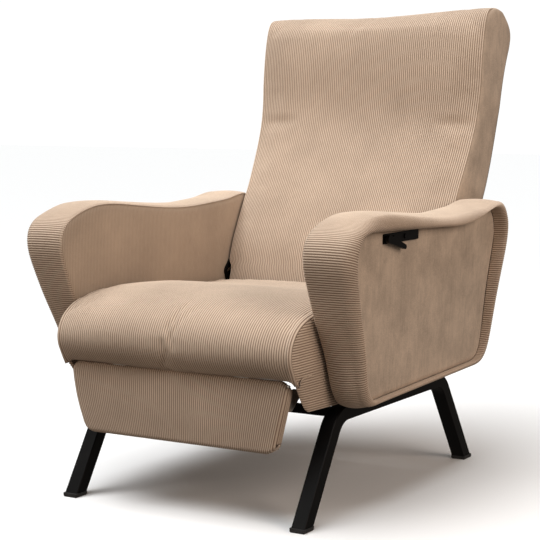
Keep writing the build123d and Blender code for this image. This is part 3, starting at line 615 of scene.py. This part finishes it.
@once
def lining():
    """Black spun lining under the seat."""
    shader = Shader("lining")
    place = shader.coordinates()
    fibres = shader.noise(place, 700.0, 4.0, 0.7)
    stops = [(0.35, (0.018, 0.018, 0.019)), (0.7, (0.045, 0.045, 0.046))]
    colour = shader.ramped(fibres, stops)
    return shader.set(Base_Color=colour, Roughness=0.95, Normal=shader.bump(fibres, 0.4, 0.0004))


FINISHES = {
    "corduroy": velvet,
    "webbing": webbing,
    "lining": lining,
    "frame_wood": beech,
    "black_steel": black_paint,
    "zinc_steel": zinc,
    "glide": glide_plastic,
}


# ---------------------------------------------------------------- seat
SEAT_ROWS = 150
SEAT_SIM = (60, 56)
SEAT_RISE = 0.008
SEAT_UNDER = 0.055
WELT_HEIGHT = 0.0022
WELT_INSET = 0.0065
WELT_WIDTH = 0.0036
UNDERSIDE = ((0.003, -0.005), (0.010, -0.0078), (0.020, -0.0078), (0.038, -0.0060), (0.060, -0.0045))
SIDE_ROWS = 90


def seat_side_loop(side, sign):
    """Side outline of a seat side as a smooth closed run, and the centre its rays aim at."""
    tree = solid_of(f"seat_side_{side}")
    low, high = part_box(f"seat_side_{side}")
    x = sign * abs(high[0] + low[0]) / 2
    centre = (low[1] + 0.25, (low[2] + high[2]) / 2)
    return smoothed(outline(tree, x, centre), 3), centre


def seat_profile():
    """Seam of the seat cover, from the rear of its top over the nose to the lip under it."""
    loop, centre = seat_side_loop("left", 1)
    top_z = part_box("seat_side_left")[1][2]
    frame_low, frame_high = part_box("seat_frame")
    lip_z = frame_low[2] + 0.002
    angles = np.degrees(np.arctan2(loop[:, 1] - centre[1], loop[:, 0] - centre[0])) % 360
    order = np.argsort(angles)
    loop, angles = loop[order], angles[order]
    run = loop[(angles > 8) & (angles < 215)]
    top_rear = np.array([[frame_high[1] + 0.006, top_z - 0.022]])
    run = run[run[:, 0] < top_rear[0, 0] - 0.02]
    run = run[int(np.argmax(run[:, 1] > top_z - 0.024)) :]
    nose = int(np.argmin(run[:, 0]))
    below_lip = run[nose:, 1] < lip_z
    end = nose + int(np.argmax(below_lip)) if below_lip.any() else len(run)
    lip = run[end - 1]
    turned_in = np.array([[lip[0] + back, lip[1] + drop] for back, drop in UNDERSIDE])
    return np.concatenate([top_rear, run[:end], turned_in])


class RECLINER_OT_seat(bpy.types.Operator):
    """Stuffed seat cover with ribs that run from the back over the nose"""

    bl_idname = "recliner.seat"
    bl_label = "Seat"

    def execute(self, context):
        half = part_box("seat_side_left")[1][0] - 0.0012
        profile = smoothed(resampled(seat_profile(), pitch=0.002), 4, closed=False)
        profile = resampled(profile, count=SEAT_ROWS)
        tangent = np.gradient(profile, axis=0)
        tangent /= np.linalg.norm(tangent, axis=1, keepdims=True)
        normal = np.stack([tangent[:, 1], -tangent[:, 0]], axis=1)
        if normal[10, 1] < 0:
            normal = -normal
        along = lengths(profile)
        to_end = along[-1] - along
        crown = self.crown(along, to_end, np.clip(normal[:, 1], 0, 1))
        columns = rib_columns(2 * half)
        x = np.linspace(-half, half, columns)
        bulge = swell(x / half, 3.0, 0.5)
        points = swollen(x[:, None], profile, normal, crown, bulge)
        from_side = half - np.abs(x)
        self.drop_corners(points, from_side, to_end)
        points = billowed(points[:, ::-1], SEAT_SIM, SEAT_RISE)
        welt = WELT_HEIGHT * np.exp(-(((from_side - WELT_INSET) / WELT_WIDTH) ** 2))
        points += grid_normals(points) * welt[:, None, None]
        upholstered("seat_cover", points, "base", "seat_cushion", tuck=0.006)
        for side, sign in SIDES:
            self.side(side, sign)
        return {"FINISHED"}

    def crown(self, along, to_end, upward):
        """Swell down the middle of the cover: none under the lip, less towards the rear."""
        chair = settings()
        full = chair.nose_crown + (chair.seat_crown - chair.nose_crown) * upward
        lip = np.sin(ramp(to_end, SEAT_UNDER, 0.05) * math.pi / 2) ** 0.8
        rear = np.sin(ramp(along, 0, 0.32) * math.pi / 2) ** 2
        return full * lip * (0.25 + 0.75 * rear)

    def drop_corners(self, points, from_side, to_end):
        """The lip hangs lower at its two corners."""
        end = np.maximum(0, 1 - from_side / 0.028) ** 2.2
        corner = np.maximum(0, 1 - from_side / 0.14) ** 1.5
        at_lip = np.clip(1 - np.abs(to_end - SEAT_UNDER) / 0.022, 0, 1) ** 1.5
        points[:, :, 2] -= (0.010 * end + 0.005 * corner)[:, None] * at_lip[None]
        points[:, :, 1] += 0.003 * end[:, None] * at_lip[None]

    def side(self, side, sign):
        """Side of the seat, ribbed from front to back."""
        loop, centre = seat_side_loop(side, sign)
        low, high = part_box(f"seat_side_{side}")
        front = loop[loop[:, 0] < centre[0]]
        front = front[np.argsort(front[:, 1])]
        top = loop[loop[:, 1] > centre[1]]
        top = top[np.argsort(top[:, 0])]
        floor_z = low[2] + 0.0015
        columns = rib_columns(high[2] - floor_z)
        z = np.linspace(floor_z, high[2] - 0.001, columns)
        y_front = np.interp(z, front[:, 1], front[:, 0])
        rear_y = high[1]
        falling = top[int(np.argmax(top[:, 1])) :]
        y_rear = np.interp(-z, -falling[:, 1], falling[:, 0], left=falling[0, 0], right=rear_y)
        y_rear = np.where(z < falling[-1, 1], rear_y, y_rear)
        share = np.linspace(0, 1, SIDE_ROWS) ** 1.5
        points = np.empty((columns, SIDE_ROWS, 3))
        points[:, :, 1] = y_front[:, None] + (y_rear - y_front)[:, None] * share[None]
        points[:, :, 2] = z[:, None]
        edge = np.minimum(points[:, :, 1] - y_front[:, None], 0.5)
        edge = np.minimum(edge, high[2] + 0.004 - points[:, :, 2])
        edge = np.minimum(edge, points[:, :, 2] - floor_z + 0.001)
        face = (abs(high[0]) if sign > 0 else abs(low[0])) - 0.0002
        ahead = ramp(-points[:, :, 1], 0.30, 0.13)
        below = ramp(-points[:, :, 2], -0.305, 0.09)
        lean = 0.013 * (ahead * below) ** 1.3
        rounded = 0.0045 * np.exp(-np.maximum(edge, 0) / 0.006)
        points[:, :, 0] = sign * (face - lean - rounded)
        upholstered(
            f"seat_side_cover_{side}", points, "base", f"seat_side_{side}", tuck=0.006, flip=sign > 0
        )


# ---------------------------------------------------------------- back
BACK_ROWS = 240
BACK_SIM = (44, 100)
BACK_RISE = 0.006
BACK_SIDE_ROWS = 150
BACK_SIDE_COLUMNS = 40
ARM_GAP = 0.006
BOLT_GAP = 0.003
EAR_Y = 0.362


class RECLINER_OT_back(bpy.types.Operator):
    """Tall back: a ribbed strip right round it, and two plain sides"""

    bl_idname = "recliner.back"
    bl_label = "Back"

    def execute(self, context):
        self.measure()
        self.wrap()
        for side, sign in SIDES:
            self.side(side, sign)
        return {"FINISHED"}

    def measure(self):
        """Front and rear of the side outline at matching stations from foot to crest."""
        tree = solid_of("back_cushion", "back_rear_panel")
        joint = next(j for j in frame["joints"] if j["name"] == "back_recline")
        foot = np.array(joint["pos_m"][1:])
        cushion_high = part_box("back_cushion")[1]
        rear_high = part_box("back_rear_panel")[1]
        head = np.array([rear_high[1] - 0.083, cushion_high[2] - 0.075])
        spine = head - foot
        reach = np.linalg.norm(spine)
        spine /= reach
        forward = np.array([-spine[1], spine[0]])
        fronts, rears = [], []
        stations = [(foot, a) for a in np.radians(np.linspace(-89, 0, 30))]
        stations += [(foot + spine * reach * s, 0.0) for s in np.linspace(0.01, 0.99, 130)]
        stations += [(head, a) for a in np.radians(np.linspace(0, 89, 40))]
        for centre, tilt in stations:
            for found, direction in ((fronts, forward), (rears, -forward)):
                way = direction * math.cos(tilt) + spine * math.sin(tilt)
                start = centre + way * 0.6
                place = hit(tree, (0.2, start[0], start[1]), (0, -way[0], -way[1]))
                found.append((place.y, place.z))
        self.front = smoothed(np.array(fronts), 2.5, closed=False)
        self.rear = smoothed(np.array(rears), 2.5, closed=False)
        self.foot = foot
        self.head_half = abs(cushion_high[0])

    def half_width(self, points):
        """Half width of the back along its outline: clear of the bolts, then the arms, wider above."""
        reach = np.linalg.norm(points - self.foot, axis=1)
        pad_low, pad_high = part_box("arm_inner_pad_left")
        lower = min(abs(pad_low[0]), abs(pad_high[0])) - ARM_GAP
        foot = min(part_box("clamp_bolt")[0][0] - BOLT_GAP, lower)
        half = foot + (lower - foot) * ramp(reach, 0.080, 0.012)
        return half + (self.head_half - lower) * ramp(reach, 0.27, 0.24)

    def wrap(self):
        """Ribbed strip over the front, the crest and the rear."""
        loop = np.concatenate([self.front, self.rear[::-1]])
        loop = resampled(np.concatenate([loop, loop[:1]]), count=BACK_ROWS)
        loop = smoothed(loop[:-1], 1.5)
        loop = np.concatenate([loop, loop[:1]])
        half = self.half_width(loop)
        tangent = np.gradient(loop, axis=0)
        tangent[0] = tangent[-1] = loop[1] - loop[-2]
        tangent /= np.linalg.norm(tangent, axis=1, keepdims=True)
        normal = np.stack([-tangent[:, 1], tangent[:, 0]], axis=1)
        columns = rib_columns(2 * half.max())
        share = np.linspace(-1, 1, columns)
        facing = np.clip(-normal[:, 0], -1, 1)
        above = ramp(loop[:, 1] - self.foot[1], 0.05, 0.15)
        crown = settings().back_crown * (0.65 + 0.35 * facing) * above
        bulge = swell(share, 4.0, 0.6)
        points = swollen(share[:, None] * half[None], loop, normal, crown, bulge)
        points = billowed(points, BACK_SIM, BACK_RISE)
        head = self.near_crest(loop[:, 1])
        points[:, :, 2] += self.sag(share)[:, None] * head[None] + self.ears(share, loop, head)
        upholstered("back_cover", points, "backrest", ["back_cushion", "back_rear_panel"])

    def near_crest(self, z):
        """Share of the crest's settling that a height takes part in."""
        return ramp(z - z.max(), -0.10, 0.09) ** 2

    def sag(self, share):
        """Settling of the crest: less towards the sitter's left."""
        return -0.012 + 0.014 * np.clip((share + 0.3) / 1.3, 0, 1) ** 1.2

    def ears(self, share, loop, head):
        """The front corners of the crest are pulled up a little by their seams."""
        corner = np.exp(-((1 - np.abs(share)) / 0.05) ** 1.5)[:, None]
        near_front = np.exp(-(((loop[:, 0] - EAR_Y) / 0.02) ** 2))[None]
        return 0.006 * corner * near_front * head[None]

    def side(self, side, sign):
        """Plain side of the back between the seams of the strip."""
        keep = np.unique(np.linspace(0, len(self.front) - 1, BACK_SIDE_ROWS).round().astype(int))
        front, rear = self.front[keep], self.rear[keep]
        share = np.linspace(0, 1, BACK_SIDE_COLUMNS)
        points = np.empty((len(keep), BACK_SIDE_COLUMNS, 3))
        for axis in (0, 1):
            points[:, :, axis + 1] = front[:, None, axis] * (1 - share) + rear[:, None, axis] * share
        half = self.half_width((front + rear) / 2)
        depth = np.linalg.norm(rear - front, axis=1)
        edge = np.minimum(share, 1 - share)[None] * depth[:, None]
        lift = 0.004 * (1 - np.exp(-edge / 0.012)) - 0.0022 * np.exp(-edge / 0.0035)
        above_arms = ramp(points[:, :, 2].mean(axis=1), 0.55, 0.05)[:, None]
        lift = lift * above_arms - 0.001 * (1 - above_arms)
        points[:, :, 0] = sign * (half[:, None] + lift)
        points[:, :, 2] += self.sag(np.array(sign * 1.0)) * self.near_crest(points[:, :, 2])
        upholstered(f"back_side_cover_{side}", points, "backrest", None, ribbed=False, flip=sign > 0)


# ---------------------------------------------------------------- arms
PANEL_COLUMNS = 200
PANEL_ROWS = 60
INNER_ROWS = 46
PANEL_SLOPE = 0.05
RIM_TAPER = 0.0325


class RECLINER_OT_arms(bpy.types.Operator):
    """Padded arms: a ribbed strip round each, a ribbed inner face and a sunk outer panel"""

    bl_idname = "recliner.arms"
    bl_label = "Arms"

    def execute(self, context):
        for side, sign in SIDES:
            self.measure(side, sign)
            self.band(side, sign)
            self.inner_face(side, sign)
            self.outer_panel(side, sign)
        return {"FINISHED"}

    def measure(self, side, sign):
        """Outer and inner side outline of an arm's band, and its width."""
        tree = solid_of(f"arm_band_{side}")
        low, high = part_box(f"arm_band_{side}")
        self.inner_x = min(abs(low[0]), abs(high[0]))
        self.rim_x = max(abs(low[0]), abs(high[0]))
        centre = ((low[1] + high[1]) / 2, low[2] + 0.19)
        near = sign * (self.inner_x + 0.001)
        self.outer = smoothed(outline(tree, near, centre), 2)
        self.recess = smoothed(outline(tree, near, centre, outward=True), 2)
        self.centre = centre

    def rim(self, z):
        """Half width of the arm's outer rim at a height: full above, tapering below."""
        low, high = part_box("arm_band_left")
        full_z = high[2] - 0.045
        drop = np.clip((full_z - z) / (full_z - low[2]), 0, 1)
        return self.rim_x - RIM_TAPER * (0.62 * drop + 0.38 * drop**2)

    def panel_face(self, z):
        """Half width at the sunk panel's face at a height."""
        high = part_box("arm_outer_panel_left")[1]
        return high[0] - PANEL_SLOPE * (high[2] - z)

    def band(self, side, sign):
        """Ribbed strip round an arm: flat, turned over the rim and folded in to the panel."""
        closed = np.concatenate([self.outer, self.outer[:1]])
        along = lengths(closed)
        ribs = round(along[-1] / settings().rib_pitch)
        count = ribs * RIB_STEPS
        wanted = np.arange(count) * along[-1] / count
        recess = np.concatenate([self.recess, self.recess[:1]])
        outer = np.stack([np.interp(wanted, along, closed[:, axis]) for axis in (0, 1)], axis=1)
        inner = np.stack([np.interp(wanted, along, recess[:, axis]) for axis in (0, 1)], axis=1)
        outer, inner = smoothed(outer, 8), smoothed(inner, 12)
        inward = inner - outer
        lip = np.linalg.norm(inward, axis=1)
        inward /= lip[:, None]
        rim = self.rim(outer[:, 1])
        panel = self.panel_face(inner[:, 1]) - 0.001
        front = ramp(self.centre[0] - outer[:, 0], 0.24, 0.08)
        roll_in = 0.72 * lip
        roll_x = 0.016 + 0.012 * front
        flat = np.linspace(0, 1, 22)
        turn = np.radians(np.linspace(0, 90, 11))[1:]
        fold = np.radians(np.linspace(90, 180, 6))[1:]
        rows = []
        for s in flat:
            tuck = 0.003 * math.exp(-s * 60)
            crown = 0.006 * float(swell(np.array(2 * s - 1), 2.0, 1.0)) * (1 - 0.5 * front)
            x = self.inner_x + s * (rim - roll_x - self.inner_x)
            rows.append((x, tuck - crown))
        for angle in turn:
            x = rim - roll_x + roll_x * math.sin(angle)
            rows.append((x, roll_in * (1 - math.cos(angle))))
        for angle in fold:
            x = rim - 0.5 * (rim - panel) * ((angle - math.pi / 2) / (math.pi / 2)) ** 2
            depth = roll_in + (lip - roll_in) * math.sin(angle - math.pi / 2)
            rows.append((x, depth))
        rows.append((panel, lip * 1.02))
        points = np.empty((count, len(rows), 3))
        for index, (x, depth) in enumerate(rows):
            depth = np.broadcast_to(depth, lip.shape)
            points[:, index, 0] = sign * x
            points[:, index, 1:] = outer + inward * depth[:, None]
        upholstered(f"arm_strip_{side}", points, "base", f"arm_band_{side}", closed=True, flip=sign < 0)

    def span(self, loop, y):
        """Lowest and highest z of a closed outline at each y."""
        lows, highs = [], []
        shifted = np.roll(loop, -1, axis=0)
        for value in y:
            crossing = (loop[:, 0] - value) * (shifted[:, 0] - value) <= 0
            first, second = loop[crossing], shifted[crossing]
            gap = second[:, 0] - first[:, 0]
            share = np.where(np.abs(gap) > 1e-9, (value - first[:, 0]) / np.where(gap == 0, 1, gap), 0)
            heights = first[:, 1] + share * (second[:, 1] - first[:, 1])
            lows.append(heights.min())
            highs.append(heights.max())
        return np.array(lows), np.array(highs)

    def columns_in(self, loop, columns, rows):
        """A grid of upright columns that fills a closed outline, and how far each point is inside it."""
        front, rear = loop[:, 0].min() + 0.0006, loop[:, 0].max() - 0.0006
        y = np.linspace(front, rear, columns)
        low, high = self.span(loop, y)
        share = (1 - np.cos(np.linspace(0, math.pi, rows))) / 2
        z = low[:, None] + (high - low)[:, None] * share[None]
        y = np.repeat(y[:, None], rows, axis=1)
        slope_top = np.gradient(high, y[:, 0])
        slope_low = np.gradient(low, y[:, 0])
        from_top = (high[:, None] - z) / np.hypot(1, slope_top)[:, None]
        from_low = (z - low[:, None]) / np.hypot(1, slope_low)[:, None]
        return y, z, np.maximum(np.minimum(from_top, from_low), 0)

    def inner_face(self, side, sign):
        """Brushed, ribbed inner face in cloth darkened as painted shade; it stops above the cleat that ties the
        arm to the seat.
        """
        loop = self.outer
        columns = rib_columns(loop[:, 0].max() - loop[:, 0].min())
        y, z, edge = self.columns_in(loop, columns, INNER_ROWS)
        cleat_low, cleat_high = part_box(f"arm_cleat_{side}")
        over_cleat = cleat_high[2] + 0.002 + 0.0001 * np.arange(INNER_ROWS)[None]
        z = np.where(y > cleat_low[1] - 0.004, np.maximum(z, over_cleat), z)
        lift = 0.0022 * (1 - np.exp(-edge / 0.012)) - 0.004 * np.exp(-edge / 0.004)
        points = np.stack([sign * (self.inner_x - lift + 0.0004), y, z], axis=2)
        upholstered(
            f"arm_inner_face_{side}",
            points,
            "base",
            f"arm_inner_pad_{side}",
            flip=sign > 0,
            cloth=brushed_corduroy,
            standing=0.4,
        )

    def outer_panel(self, side, sign):
        """Flat, brushed panel sunk behind the rim."""
        y, z, edge = self.columns_in(self.recess, PANEL_COLUMNS, PANEL_ROWS)
        lift = 0.0045 * (1 - np.exp(-edge / 0.03)) - 0.003 * np.exp(-edge / 0.005)
        lift = np.minimum(lift, 0.0002)
        points = np.stack([sign * (self.panel_face(z) + lift), y, z], axis=2)
        upholstered(
            f"arm_outer_face_{side}",
            points,
            "base",
            f"arm_outer_panel_{side}",
            ribbed=False,
            flip=sign < 0,
        )


# ---------------------------------------------------------------- footrest
CORNER_RADIUS = 0.020
ROLL_RADIUS = 0.009
END_ROWS = 60
REAR_COLUMNS = 120
REAR_ROWS = 40


class RECLINER_OT_footrest(bpy.types.Operator):
    """Footrest pad whose ribs fan between its slanted sides and roll over its top edge"""

    bl_idname = "recliner.footrest"
    bl_label = "Footrest"

    def execute(self, context):
        self.measure()
        columns = rib_columns(2 * self.top_half)
        share = np.linspace(-1, 1, columns)
        run = self.section()
        points = np.empty((columns, len(run), 3))
        droop = 0.013 * np.maximum(0, (np.abs(share) - 0.90) / 0.10) ** 2
        lift = self.corner_lift(share)
        round_off = 0.007 * np.maximum(0, (np.abs(share) - 0.965) / 0.035) ** 2
        right = np.minimum(share, 0) ** 3
        for index, (y, z) in enumerate(run):
            level = (z - self.low[2]) / (self.hinge_z - self.low[2])
            height = z - droop * np.clip(level, 0, 1) ** 8 + lift * np.clip(1 - level, 0, 1) ** 3
            crown = 0.0035 * np.maximum(0, 1 - share**6) * math.sin(math.pi * min(1, max(0, level)))
            front = 1.0 if y < self.low[1] + 0.006 else 0.0
            points[:, index, 0] = self.middle + share * self.half(height) + self.bow(height) * right
            points[:, index, 1] = y + round_off * front - crown * front
            points[:, index, 2] = height
        upholstered("footrest_cover", points, "footrest", "footrest_pad", tuck=0.003)
        for side, sign in SIDES:
            self.end_face(side, sign)
        self.rear()
        return {"FINISHED"}

    def measure(self):
        """The pad's box, its hinge and its half widths at the foot and at the top."""
        self.low, self.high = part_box("footrest_pad")
        joint = next(j for j in frame["joints"] if j["name"] == "footrest_swing")
        self.hinge_y, self.hinge_z = joint["pos_m"][1:]
        self.nose = self.high[2] - self.hinge_z
        self.middle = (self.low[0] + self.high[0]) / 2
        self.top_half = (self.high[0] - self.low[0]) / 2
        tree = solid_of("footrest_pad")
        near = hit(tree, (1.0, self.low[1] + 0.004, self.low[2] + 0.022), (-1, 0, 0)).x - self.middle
        slope = (self.top_half - near) / (self.high[2] - self.low[2] - 0.022)
        self.foot_half = near - 0.022 * slope

    def level(self, z):
        """Height as a share of the pad's own."""
        return np.clip((z - self.low[2]) / (self.high[2] - self.low[2]), 0, 1)

    def half(self, z):
        """Half width of the pad at a height."""
        return self.foot_half + (self.top_half - self.foot_half) * self.level(z) - 0.001

    def bow(self, z):
        """How far the cover bows out at the sitter's right."""
        return 0.007 * np.sin(math.pi * self.level(z))

    def corner_lift(self, share):
        """Rise of the lower edge where it rounds its two corners."""
        past = np.maximum(np.abs(share) * self.foot_half - (self.foot_half - CORNER_RADIUS), 0)
        return CORNER_RADIUS - np.sqrt(np.maximum(CORNER_RADIUS**2 - past**2, 0))

    def section(self):
        """Side view of the cover: under the pad, up its front and over the hinge."""
        front, rear = self.low[1], self.high[1]
        roll = ROLL_RADIUS
        run = [(rear, self.low[2] + 0.0015), (rear - 0.008, self.low[2])]
        for angle in np.radians(np.linspace(90, 5, 8)):
            y = front + roll - roll * math.cos(angle)
            run.append((y, self.low[2] + roll - roll * math.sin(angle)))
        for z in np.linspace(self.low[2] + roll, self.hinge_z, 50)[1:]:
            run.append((front, z))
        for angle in np.radians(np.linspace(8, 150, 16)):
            y = self.hinge_y - self.nose * math.cos(angle)
            run.append((y, self.hinge_z + self.nose * math.sin(angle)))
        return run

    def end_face(self, side, sign):
        """End of the pad, with the same ribs upright."""
        front, rear = self.low[1] + 0.0055, self.high[1]
        columns = rib_columns(rear - front)
        y = np.linspace(front, rear, columns)
        over = np.sqrt(np.maximum(self.nose**2 - (y - self.hinge_y) ** 2, 0))
        top = self.hinge_z + over - 0.0135
        low = self.low[2] + 0.0205
        points = np.empty((columns, END_ROWS, 3))
        share = np.linspace(0, 1, END_ROWS)
        points[:, :, 1] = y[:, None]
        points[:, :, 2] = low + (top[:, None] - low) * share[None]
        bulge = 0.0022 * np.sin(np.linspace(0.25, 1, columns) * math.pi)[:, None]
        points[:, :, 0] = self.middle + sign * (self.half(points[:, :, 2]) - 0.0008 + bulge)
        if sign < 0:
            points[:, :, 0] -= self.bow(points[:, :, 2])
        upholstered(f"footrest_end_{side}", points, "footrest", None, tuck=0.003, flip=sign < 0)

    def rear(self):
        """Flat, brushed rear of the footrest."""
        low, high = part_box("footrest_back")
        half = (high[0] - low[0]) / 2
        x = np.linspace(-half, half, REAR_COLUMNS)
        share = np.linspace(0, 1, REAR_ROWS)
        points = np.empty((REAR_COLUMNS, REAR_ROWS, 3))
        narrow = (self.foot_half - 0.006) / half
        points[:, :, 0] = self.middle + x[:, None] * (narrow + (1 - narrow) * share[None])
        points[:, :, 2] = low[2] + (high[2] - low[2]) * share[None]
        edge = np.minimum(share, 1 - share)[None] * (high[2] - low[2])
        edge = np.minimum(edge, (half - np.abs(x))[:, None])
        points[:, :, 1] = high[1] - 0.004 * np.exp(-edge / 0.006)
        upholstered(
            "footrest_rear_cover",
            points,
            "footrest",
            "footrest_back",
            ribbed=False,
            tuck=0.004,
            flip=True,
        )


# ---------------------------------------------------------------- hard parts
class RECLINER_OT_finishes(bpy.types.Operator):
    """Gives every CAD node its paint, plating, wood or cloth"""

    bl_idname = "recliner.finishes"
    bl_label = "Finishes"

    def execute(self, context):
        for entry in frame["record"]["subparts"]:
            node = entry["node"]
            make = black_paint if node == "lever_screws" else FINISHES[entry["material_slot"]]
            for slot in frame["nodes"][node].material_slots:
                slot.material = make()
        return {"FINISHED"}


# ---------------------------------------------------------------- stage
WARM = (1.0, 0.85, 0.74)
WHITE = (1.0, 1.0, 1.0)
LAMPS = (
    ("front_light", (-1.6, -3.4, 1.2), (0, 0, 0.4), 2.0, 20, WARM),
    ("side_light", (3.6, -1.0, 1.9), (0, 0, 0.45), 2.0, 64, WARM),
    ("high_left_light", (-0.9, -0.5, 2.1), (-0.15, 0.4, 0.9), 0.9, 13, WHITE),
)
CAMERA_PLACE = (1.6957, -2.9353, 0.792)
CAMERA_AZIMUTH = 30.94
CAMERA_PITCH = 6.03
CAMERA_LENS = 106.02


class RECLINER_OT_stage(bpy.types.Operator):
    """Pale floor, soft studio lights and the camera"""

    bl_idname = "recliner.stage"
    bl_label = "Stage"

    def execute(self, context):
        self.floor()
        self.sky()
        self.overhead()
        for lamp in LAMPS:
            self.lamp(*lamp)
        self.camera()
        return {"FINISHED"}

    def floor(self):
        bpy.ops.object.select_all(action="DESELECT")
        bpy.ops.mesh.primitive_plane_add(size=40, location=(0, 0, 0))
        floor = bpy.context.object
        floor.name = "studio_floor"
        shader = Shader("studio_floor")
        floor.data.materials.append(shader.set(Base_Color=(0.96, 0.96, 0.96, 1.0), Roughness=0.9))
        floor.visible_diffuse = False
        floor.visible_glossy = False

    def sky(self):
        """White backdrop, dimmer as a light than as seen."""
        world = bpy.data.worlds.new("studio")
        world.use_nodes = True
        tree = world.node_tree
        seen = tree.nodes["Background"]
        seen.inputs["Color"].default_value = (1.0, 1.0, 1.0, 1.0)
        seen.inputs["Strength"].default_value = 1.05
        fill = tree.nodes.new("ShaderNodeBackground")
        fill.inputs["Color"].default_value = (1.0, 0.88, 0.78, 1.0)
        fill.inputs["Strength"].default_value = 0.17
        ray = tree.nodes.new("ShaderNodeLightPath")
        mix = tree.nodes.new("ShaderNodeMixShader")
        tree.links.new(ray.outputs["Is Camera Ray"], mix.inputs["Fac"])
        tree.links.new(fill.outputs["Background"], mix.inputs[1])
        tree.links.new(seen.outputs["Background"], mix.inputs[2])
        tree.links.new(mix.outputs["Shader"], tree.nodes["World Output"].inputs["Surface"])
        bpy.context.scene.world = world
        bpy.context.scene.view_settings.view_transform = "Standard"

    def overhead(self):
        """Wide, soft light from above, from a little behind."""
        turn = (math.radians(13), math.radians(-9), 0)
        bpy.ops.object.light_add(type="SUN", location=(0, 0, 3), rotation=turn)
        light = bpy.context.object
        light.name = "overhead_light"
        light.data.energy = 3.1
        light.data.color = (0.95, 0.98, 1.0)
        light.data.angle = math.radians(60)

    def lamp(self, name, place, target, size, power, colour):
        bpy.ops.object.light_add(type="AREA", location=place)
        light = bpy.context.object
        light.name = name
        light.data.size = size
        light.data.energy = power
        light.data.color = colour
        light.rotation_euler = (Vector(target) - Vector(place)).to_track_quat("-Z", "Y").to_euler()

    def camera(self):
        azimuth, pitch = math.radians(CAMERA_AZIMUTH), math.radians(CAMERA_PITCH)
        towards_camera = Vector(
            (math.sin(azimuth) * math.cos(pitch), -math.cos(azimuth) * math.cos(pitch), math.sin(pitch))
        )
        bpy.ops.object.camera_add(location=CAMERA_PLACE)
        camera = bpy.context.object
        camera.name = "studio_camera"
        camera.rotation_euler = (-towards_camera).to_track_quat("-Z", "Y").to_euler()
        camera.data.lens = CAMERA_LENS
        camera.data.sensor_width = 36.0
        bpy.context.scene.camera = camera


# ---------------------------------------------------------------- panel
OPERATORS = (
    RECLINER_OT_finishes,
    RECLINER_OT_seat,
    RECLINER_OT_back,
    RECLINER_OT_arms,
    RECLINER_OT_footrest,
    RECLINER_OT_stage,
)


class RECLINER_PT_panel(bpy.types.Panel):
    """Lists the steps that build the chair"""

    bl_idname = "RECLINER_PT_panel"
    bl_label = "Recliner"
    bl_space_type = "VIEW_3D"
    bl_region_type = "UI"
    bl_category = "Recliner"

    def draw(self, context):
        for name in RecliningChairSettings.__annotations__:
            self.layout.prop(context.scene.reclining_chair, name)
        for operator in OPERATORS:
            self.layout.operator(operator.bl_idname)


CLASSES = (RecliningChairSettings, *OPERATORS, RECLINER_PT_panel)


def register():
    for cls in CLASSES:
        bpy.utils.register_class(cls)
    bpy.types.Scene.reclining_chair = PointerProperty(type=RecliningChairSettings)


def unregister():
    del bpy.types.Scene.reclining_chair
    for cls in reversed(CLASSES):
        bpy.utils.unregister_class(cls)


def main():
    register()
    bpy.ops.recliner.finishes()
    bpy.ops.recliner.seat()
    bpy.ops.recliner.back()
    bpy.ops.recliner.arms()
    bpy.ops.recliner.footrest()
    bpy.ops.recliner.stage()


if __name__ == "__main__":
    main()
